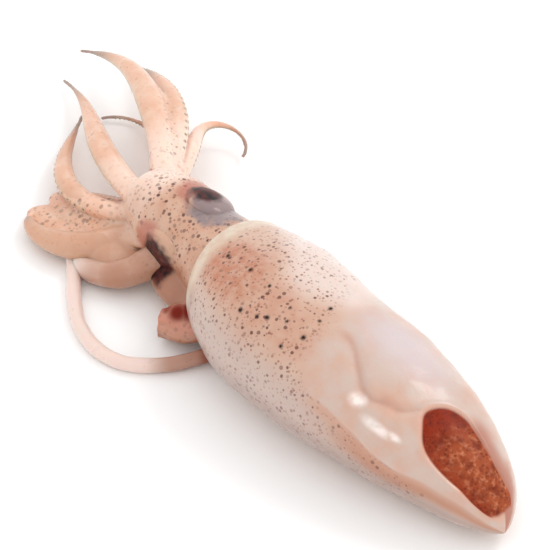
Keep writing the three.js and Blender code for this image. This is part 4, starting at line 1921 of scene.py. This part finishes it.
@dataclass
class Funnel:
    """The short open siphon that leans out of the collar on the left."""

    route: Sequence[Spot] = ((-34.0, -8.0, 6.5), (-38.5, -14.6, 5.0), (-43.6, -17.8, 4.6))
    root_radius: float = 5.0
    mouth_radius: float = 4.3
    pinch: float = 0.24
    pinched: Step = Step(0.45, 1.0)
    wall: float = 0.9
    bore_from: float = 0.72
    bore_end: float = 0.02
    flatten: float = 0.9
    steps: int = 60
    around: int = 56
    waves: Waves = Waves(0.05, 6.0, 0.8)
    waves_along: tuple[float, float] = (12.0, 5.0)
    folds: Sequence[Spot] = ((0.13, 3.0, 3.4), (0.08, 7.0, -6.0))
    spots: float = 0.3
    sore: Step = Step(3.5, 7.5)
    # painted shade: the funnel is darker towards its bottom
    under_shade: Step = Step(7.5, 4.0)
    under_shade_most: float = 0.75
    # painted dark-red shade deep inside the funnel's bore
    crevice_shade: float = 0.9
    crevice_shade_depth: Step = Step(0.0, 0.4)

    def outer(self, t: Array) -> Array:
        """Measures the outside, which is pinched towards the mouth.

        Args:
            t: shares of the way to the mouth.

        Returns:
            The outer radius at each of them.
        """
        plain = self.root_radius + (self.mouth_radius - self.root_radius) * t
        pinched = plain * (1.0 - self.pinch * self.pinched.at(t) ** 2)
        return pinched * (1.0 + self.waves.at(t * self.waves_along[0], t * self.waves_along[1]))

    def tube(self, t: Array, outer: Array) -> Array:
        """Lays the outside of the funnel, with folds that twist along it.

        Args:
            t: share of the way to the mouth, for each ring.
            outer: the radius of each ring.

        Returns:
            The points by ring and by place round it, none of them below the floor.
        """
        spine = bend(self.route, self.steps)[:, None]
        rings = Limb(spine[:, 0], outer, self.flatten).rings(self.around)
        turn = turns(self.around)
        folds = sum(rise * np.sin(count * turn + twist * t[:, None]) for rise, count, twist in self.folds)
        rings = spine + (rings - spine) * (1.0 + folds)[..., None]
        rings[..., 2] = np.maximum(rings[..., 2], 0.0)
        return rings

    def build(self) -> list[bpy.types.Object]:
        """Makes the funnel with its open mouth.

        Returns:
            The one piece made.
        """
        t = np.linspace(0.0, 1.0, self.steps)
        outer = self.outer(t)
        tube = self.tube(t, outer)
        back = t[::-1][: int(self.steps * (1.0 - self.bore_from))]
        depth = (1.0 - back) / (1.0 - self.bore_from)
        near_mouth = outer[::-1][: len(back)]
        inner = (near_mouth - self.wall) * np.sqrt(np.clip(1.0 - depth**2, self.bore_end, 1.0))
        hollow = tube[::-1][: len(back)]
        middle = hollow.mean(axis=1, keepdims=True)
        hollow = middle + (hollow - middle) * (inner / near_mouth)[:, None, None]
        rings = np.concatenate([tube, hollow])
        mesh = Shell.from_rings(rings).mesh("funnel")
        deep = np.append(np.zeros(self.steps), self.crevice_shade_depth.at(depth))
        height = rings[..., 2]
        known = {
            "spots": np.full_like(height, self.spots),
            "sore": self.sore.at(height),
            "under_shade": self.under_shade.at(height) * self.under_shade_most,
            "crevice_shade": self.crevice_shade * np.repeat(deep, self.around),
        }
        paint_flesh(mesh, known)
        return [add_piece("funnel", mesh, FLESH)]


@dataclass(frozen=True)
class Patch:
    """A soft oval patch: its middle and reach along and up the eye in millimetres, slant and edge."""

    along: float
    up: float
    long: float
    high: float
    slant: float = 0.0
    edge: Step = Step(1.2, 0.55)

    def cover(self, along: Array, up: Array) -> Array:
        """Measures places on the eye against the patch.

        Args:
            along: how far each place lies behind the eye's middle.
            up: how far it lies above it.

        Returns:
            How much of the patch lies on each place.
        """
        turn = math.radians(self.slant)
        ahead = (along - self.along) * math.cos(turn) + (up - self.up) * math.sin(turn)
        aside = (up - self.up) * math.cos(turn) - (along - self.along) * math.sin(turn)
        return self.edge.at(np.hypot(ahead / self.long, aside / self.high))


EYE_PATCHES = {
    Side.LEFT: {"red": Patch(-4.0, 1.2, 5.4, 4.4), "dark": Patch(0.2, -0.8, 6.3, 5.2, -35.0)},
    Side.RIGHT: {
        "red": Patch(-3.6, 0.6, 5.6, 5.2),
        "haze": Patch(3.6, 1.6, 7.6, 6.4),
        "dark": Patch(-1.6, 1.0, 4.6, 4.2),
    },
}


@dataclass
class Eye:
    """One eye: a low wet dome on the side of the head, in an orbit of flesh."""

    side: Side
    bearing: float
    back: float
    radius: float = 5.5
    out: float = 8.6
    flat: float = 0.46
    long: float = 1.15
    orbit_share: float = 0.975
    near: Step = Step(-4.5, -1.5)
    rings: int = 60
    around: int = 96

    def seat(self) -> tuple[Array, Array, Array]:
        """Places the eye on the head.

        Returns:
            Middle of the eyeball, and its directions outward and upward.
        """
        sign = -1.0 if self.side is Side.LEFT else 1.0
        outward = across(self.bearing * sign + HEAD.roll)
        upward = across(self.bearing * sign + HEAD.roll - 90.0 * sign)
        return np.array(HEAD.centre) + self.out * outward + np.array((self.back, 0.0, 0.0)), outward, upward

    def tints(self, points: Array) -> dict[str, Array]:
        """Judges where the tints of the eye lie.

        Args:
            points: points of the eye or of the skin round it.

        Returns:
            The cover of each tint over the points.
        """
        middle, outward, upward = self.seat()
        off = points - middle
        along, up = off[..., 0], off @ upward
        near = self.near.at(off @ outward)
        nothing = np.zeros(off.shape[:-1])
        covers = {name: patch.cover(along, up) * near for name, patch in EYE_PATCHES[self.side].items()}
        return {name: covers.get(name, nothing) for name in ("red", "haze", "dark")}

    def shell(self, share: float) -> Shell:
        """Shapes the eyeball.

        Args:
            share: its size, against that of the eye that shows.

        Returns:
            Its closed surface.
        """
        middle, outward, upward = self.seat()
        axes = (self.flat * outward, np.array((self.long, 0.0, 0.0)), upward)
        return Shell.from_rings(middle + self.radius * share * ball(axes, self.rings, self.around))

    def orbit(self) -> Shell:
        """The swelling of flesh that the eye sits in."""
        return self.shell(self.orbit_share)

    def build(self) -> list[bpy.types.Object]:
        """Makes the eye.

        Returns:
            The one piece made.
        """
        name = f"eye_{self.side.value}"
        mesh = self.shell(1.0).mesh(name)
        paint(mesh, self.tints(mesh_points(mesh)))
        return [add_piece(name, mesh, EYE_FILM)]


EYES = (Eye(Side.LEFT, 63.0, 2.6), Eye(Side.RIGHT, 59.0, 4.2))


# ------------------------------------------------------------------------------ suckers


@dataclass(frozen=True)
class SuckerNodes:
    """Geometry nodes that set a ring with a cup inside it on every point of a mesh."""

    ring_radius: float = 0.72
    ring_width: float = 0.28
    cup_flat: float = 0.25
    smallest: float = 0.88
    largest: float = 1.12
    around: int = 12
    seed: int = 7

    def settings(self, finish: Finish) -> dict[str, tuple[str, Any]]:
        """Lists what the nodes are given beside the points.

        Args:
            finish: what the suckers are dressed in.

        Returns:
            Kind of socket and value, by name.
        """
        return {
            "Ring radius": ("NodeSocketFloat", self.ring_radius),
            "Ring width": ("NodeSocketFloat", self.ring_width),
            "Seed": ("NodeSocketInt", self.seed),
            "Finish": ("NodeSocketMaterial", finish.material()),
        }

    def one(self, nodes: Nodes, given: Any) -> Socket:
        """Writes the nodes of one sucker.

        Args:
            nodes: the tree that is written.
            given: what goes into the tree, by name.

        Returns:
            Its ring with the cup inside.
        """
        fed = {"Resolution": self.around, "Radius": given["Ring radius"]}
        middle = nodes.add("GeometryNodeCurvePrimitiveCircle", fed)
        fed = {"Resolution": self.around // 2, "Radius": given["Ring width"]}
        section = nodes.add("GeometryNodeCurvePrimitiveCircle", fed)
        fed = {"Curve": middle.outputs["Curve"], "Profile Curve": section.outputs["Curve"]}
        ring = nodes.add("GeometryNodeCurveToMesh", fed)
        fed = {"Segments": self.around, "Rings": self.around // 3, "Radius": given["Ring radius"]}
        bowl = nodes.add("GeometryNodeMeshUVSphere", fed)
        fed = {"Geometry": bowl.outputs["Mesh"], "Scale": (1.0, 1.0, self.cup_flat)}
        flat = nodes.add("GeometryNodeTransform", fed)
        fed = {"Geometry": flat.outputs["Geometry"], "Name": "cup", "Value": 1.0}
        cup = nodes.add("GeometryNodeStoreNamedAttribute", fed)
        sucker = nodes.add("GeometryNodeJoinGeometry", {"Geometry": ring.outputs["Mesh"]})
        nodes.feed(sucker.inputs["Geometry"], cup.outputs["Geometry"])
        return sucker.outputs["Geometry"]

    def tree(self, finish: Finish) -> bpy.types.NodeTree:
        """Writes the nodes that set a sucker on each point, along its facing and at its size.

        Args:
            finish: what the suckers are dressed in.

        Returns:
            The node tree.
        """
        tree = bpy.data.node_groups.new("suckers", "GeometryNodeTree")
        tree.interface.new_socket("Points", in_out="INPUT", socket_type="NodeSocketGeometry")
        for name, (kind, _) in self.settings(finish).items():
            tree.interface.new_socket(name, in_out="INPUT", socket_type=kind)
        tree.interface.new_socket("Suckers", in_out="OUTPUT", socket_type="NodeSocketGeometry")
        nodes = Nodes(tree)
        given = nodes.add("NodeGroupInput").outputs
        facing = nodes.add("GeometryNodeInputNamedAttribute", {"Name": "facing"}, data_type="FLOAT_VECTOR")
        fed = {"Vector": facing.outputs["Attribute"]}
        turn = nodes.add("FunctionNodeAlignRotationToVector", fed, axis="Z")
        size = nodes.add("GeometryNodeInputNamedAttribute", {"Name": "size"}, data_type="FLOAT")
        fed = {2: self.smallest, 3: self.largest, "Seed": given["Seed"]}
        chance = nodes.add("FunctionNodeRandomValue", fed, data_type="FLOAT")
        fed = {0: size.outputs["Attribute"], 1: chance.outputs[1]}
        scale = nodes.add("ShaderNodeMath", fed, operation="MULTIPLY")
        fed = {
            "Points": given["Points"],
            "Instance": self.one(nodes, given),
            "Rotation": turn.outputs["Rotation"],
            "Scale": scale.outputs[0],
        }
        scatter = nodes.add("GeometryNodeInstanceOnPoints", fed)
        solid = nodes.add("GeometryNodeRealizeInstances", {"Geometry": scatter.outputs["Instances"]})
        fed = {"Geometry": solid.outputs["Geometry"], "Material": given["Finish"]}
        dressed = nodes.add("GeometryNodeSetMaterial", fed)
        nodes.add("NodeGroupOutput", {"Suckers": dressed.outputs["Geometry"]})
        return tree

    def mesh(self, points: bpy.types.Mesh, finish: Finish) -> bpy.types.Mesh:
        """Sets a sucker on each point.

        Args:
            points: a mesh of loose points with their facing and their size.
            finish: what the suckers are dressed in.

        Returns:
            The suckers as one plain mesh.
        """
        holder = placed("suckers", points)
        scatter = holder.modifiers.new("suckers", "NODES")
        scatter.node_group = self.tree(finish)
        names = {item.name: item.identifier for item in scatter.node_group.interface.items_tree}
        for name, (_, value) in self.settings(finish).items():
            scatter[names[name]] = value
        made = plain_mesh(holder, "suckers")
        made.shade_smooth()
        return made


@dataclass
class Suckers:
    """Two rows of suckers along each arm, largest at its middle."""

    nodes: SuckerNodes = SuckerNodes()
    first: float = 0.2
    last: float = 0.94
    size_share: float = 0.2
    smallest: float = 0.24
    largest: float = 0.7
    pitch: float = 2.3
    row_turn: float = 17.0
    sunk: float = 0.12
    clearance: float = 1.1

    def on_arm(self, arm: Arm) -> tuple[Array, Array, Array]:
        """Lays out the suckers of one arm.

        Args:
            arm: the arm.

        Returns:
            Their places, facings and sizes.
        """
        limb = arm.limb()
        _, side, over = limb.frame()
        share = np.linspace(0.0, 1.0, len(limb.spine))
        sizes = np.clip(limb.radii * self.size_share, self.smallest, self.largest)
        steps = np.append(0.0, np.linalg.norm(np.diff(limb.spine, axis=0), axis=1))
        counted = np.cumsum(steps / (sizes * self.pitch))
        inside = (share > self.first) & (share < self.last)
        wanted = np.arange(math.ceil(counted[inside][0]), counted[inside][-1])
        at = np.interp(wanted, counted, np.arange(len(share)))
        below = at.astype(int)
        part = (at - below)[:, None]
        spine = limb.spine[below] * (1.0 - part) + limb.spine[below + 1] * part
        turn = np.radians(arm.sucker_turn + self.row_turn * np.where(wanted % 2 > 0.5, 1.0, -1.0))[:, None]
        radius = limb.radii[below][:, None]
        out = side[below] * np.cos(turn) + over[below] * np.sin(turn) * limb.flatten
        facing = unit(side[below] * np.cos(turn) * limb.flatten + over[below] * np.sin(turn))
        size = sizes[below]
        spots = spine + out * radius - facing * (self.sunk * size)[:, None]
        return spots, facing, size

    def build(self) -> list[bpy.types.Object]:
        """Makes all suckers.

        Returns:
            The one piece made.
        """
        rows = [self.on_arm(arm) for arm in ARMS.values()]
        spots, facing, size = (np.concatenate([row[i] for row in rows]) for i in range(3))
        free = spots[:, 2] > size * self.clearance
        spots, facing, size = spots[free], facing[free], size[free]
        points = bpy.data.meshes.new("sucker_points")
        points.from_pydata(in_frame(spots), [], [])
        points.attributes.new("facing", "FLOAT_VECTOR", "POINT").data.foreach_set("vector", facing.ravel())
        points.attributes.new("size", "FLOAT", "POINT").data.foreach_set("value", size * MM)
        return [add_piece("suckers", self.nodes.mesh(points, SUCKER_FLESH), SUCKER_FLESH)]


# ------------------------------------------------------------------------------ floor, light and camera


@dataclass
class Studio:
    """A plain pale floor, soft light from behind on the right, and the camera."""

    azimuth: float = 50.0
    elevation: float = 43.0
    distance: float = 2.4
    field: float = 0.126
    aim: Spot = (-0.0330, 0.0119, 0.0117)
    sensor: float = 36.0
    clip_end: float = 10.0
    floor_size: float = 3.0
    floor_colour: Colour = (253, 253, 253)
    floor_roughness: float = 0.6
    floor_shine: float = 0.2
    sky: float = 1.12
    key_energy: float = 1.1
    key_size: float = 0.24
    key_distance: float = 0.8
    key_from: Spot = (0.55, 0.75, 0.35)

    def axes(self) -> tuple[Vector, Vector, Vector]:
        """Works out the directions of the view.

        Returns:
            Directions to the right of the image, up it and out of it to the camera.
        """
        turn = math.radians(self.azimuth)
        tilt = math.radians(self.elevation)
        right = Vector((math.cos(turn), math.sin(turn), 0.0))
        out = Vector((math.sin(turn) * math.cos(tilt), -math.cos(turn) * math.cos(tilt), math.sin(tilt)))
        return right, out.cross(right), out

    def hang(self, thing: bpy.types.Object, direction: Vector, distance: float) -> None:
        """Hangs a lamp or a camera so that it looks at the squid.

        Args:
            thing: the lamp or the camera.
            direction: from the squid to it, at length one.
            distance: how far off it hangs, in metres.
        """
        thing.location = Vector(self.aim) + direction * distance
        thing.rotation_euler = direction.to_track_quat("Z", "Y").to_euler()

    def camera(self) -> None:
        """Sets the camera at its angle, far off with a long lens."""
        data = bpy.data.cameras.new("camera")
        data.sensor_width = self.sensor
        data.lens = self.sensor * self.distance / self.field
        data.clip_end = self.clip_end
        camera = placed("camera", data)
        self.hang(camera, self.axes()[2], self.distance)
        bpy.context.scene.camera = camera

    def lamp(self) -> None:
        """Hangs one square soft lamp behind the squid on the right."""
        data = bpy.data.lights.new("key", "AREA")
        data.energy = self.key_energy
        data.size = self.key_size
        direction = sum((axis * share for axis, share in zip(self.axes(), self.key_from)), Vector())
        self.hang(placed("key", data), direction.normalized(), self.key_distance)

    def floor(self) -> None:
        """Lays the pale floor."""
        half = self.floor_size / 2.0
        mesh = bpy.data.meshes.new("floor")
        corners = [(-half, -half, 0.0), (half, -half, 0.0), (half, half, 0.0), (-half, half, 0.0)]
        mesh.from_pydata(corners, [], [(0, 1, 2, 3)])
        sketch = Sketch("pale_table")
        fed = {
            "Base Color": self.floor_colour,
            "Roughness": self.floor_roughness,
            "Specular IOR Level": self.floor_shine,
        }
        shader = sketch.add("ShaderNodeBsdfPrincipled", fed)
        sketch.add("ShaderNodeOutputMaterial", {"Surface": shader.outputs[0]})
        mesh.materials.append(sketch.made)
        floor = placed("floor", mesh)

    def build(self) -> None:
        """Sets up camera, floor, sky and lamp."""
        self.camera()
        self.floor()
        world = bpy.data.worlds.new("sky")
        world.use_nodes = True
        sky = world.node_tree.nodes["Background"].inputs
        sky["Color"].default_value = (1.0, 1.0, 1.0, 1.0)
        sky["Strength"].default_value = self.sky
        bpy.context.scene.world = world
        self.lamp()
        bpy.context.scene.view_settings.view_transform = "Standard"


# ------------------------------------------------------------------------------ the whole animal


LEFT_TENTACLE = Tentacle(
    Side.LEFT,
    3.9,
    0.26,
    0.0,
    (
        (-57, -6, 8), (-62, -15.5, 4.8), (-69.5, -18.5, 3), (-75.5, -17.5, 2.2), (-72, -20.5, 1.7),
        (-64.5, -26.5, 1.7), (-57, -31, 1.7), (-48.6, -33, 1.7), (-40.8, -31.2, 1.7), (-34, -24, 1.8),
        (-29.5, -14, 2.4),
    ),
    tucked=0.8,
)
RIGHT_TENTACLE = Tentacle(
    Side.RIGHT,
    2.8,
    0.16,
    1.5,
    (
        (-62, 6, 8), (-66, 12.5, 4), (-59, 15.5, 2), (-46, 17.5, 1.4), (-32, 19.5, 1.4),
        (-16, 21, 1.4), (0, 20.5, 1.5), (15, 17.5, 1.7),
    ),
)


def main() -> None:
    """Builds the squid's pieces in order."""
    logging.basicConfig(level=logging.INFO, format="%(message)s")
    Studio().build()
    parts = (
        MantleAndFins(),
        HeadAndArms(),
        Funnel(),
        *EYES,
        LEFT_TENTACLE,
        RIGHT_TENTACLE,
        Suckers(),
    )
    made = [piece for part in parts for piece in part.build()]
    log.info("%d pieces", len(made))


if __name__ == "__main__":
    main()
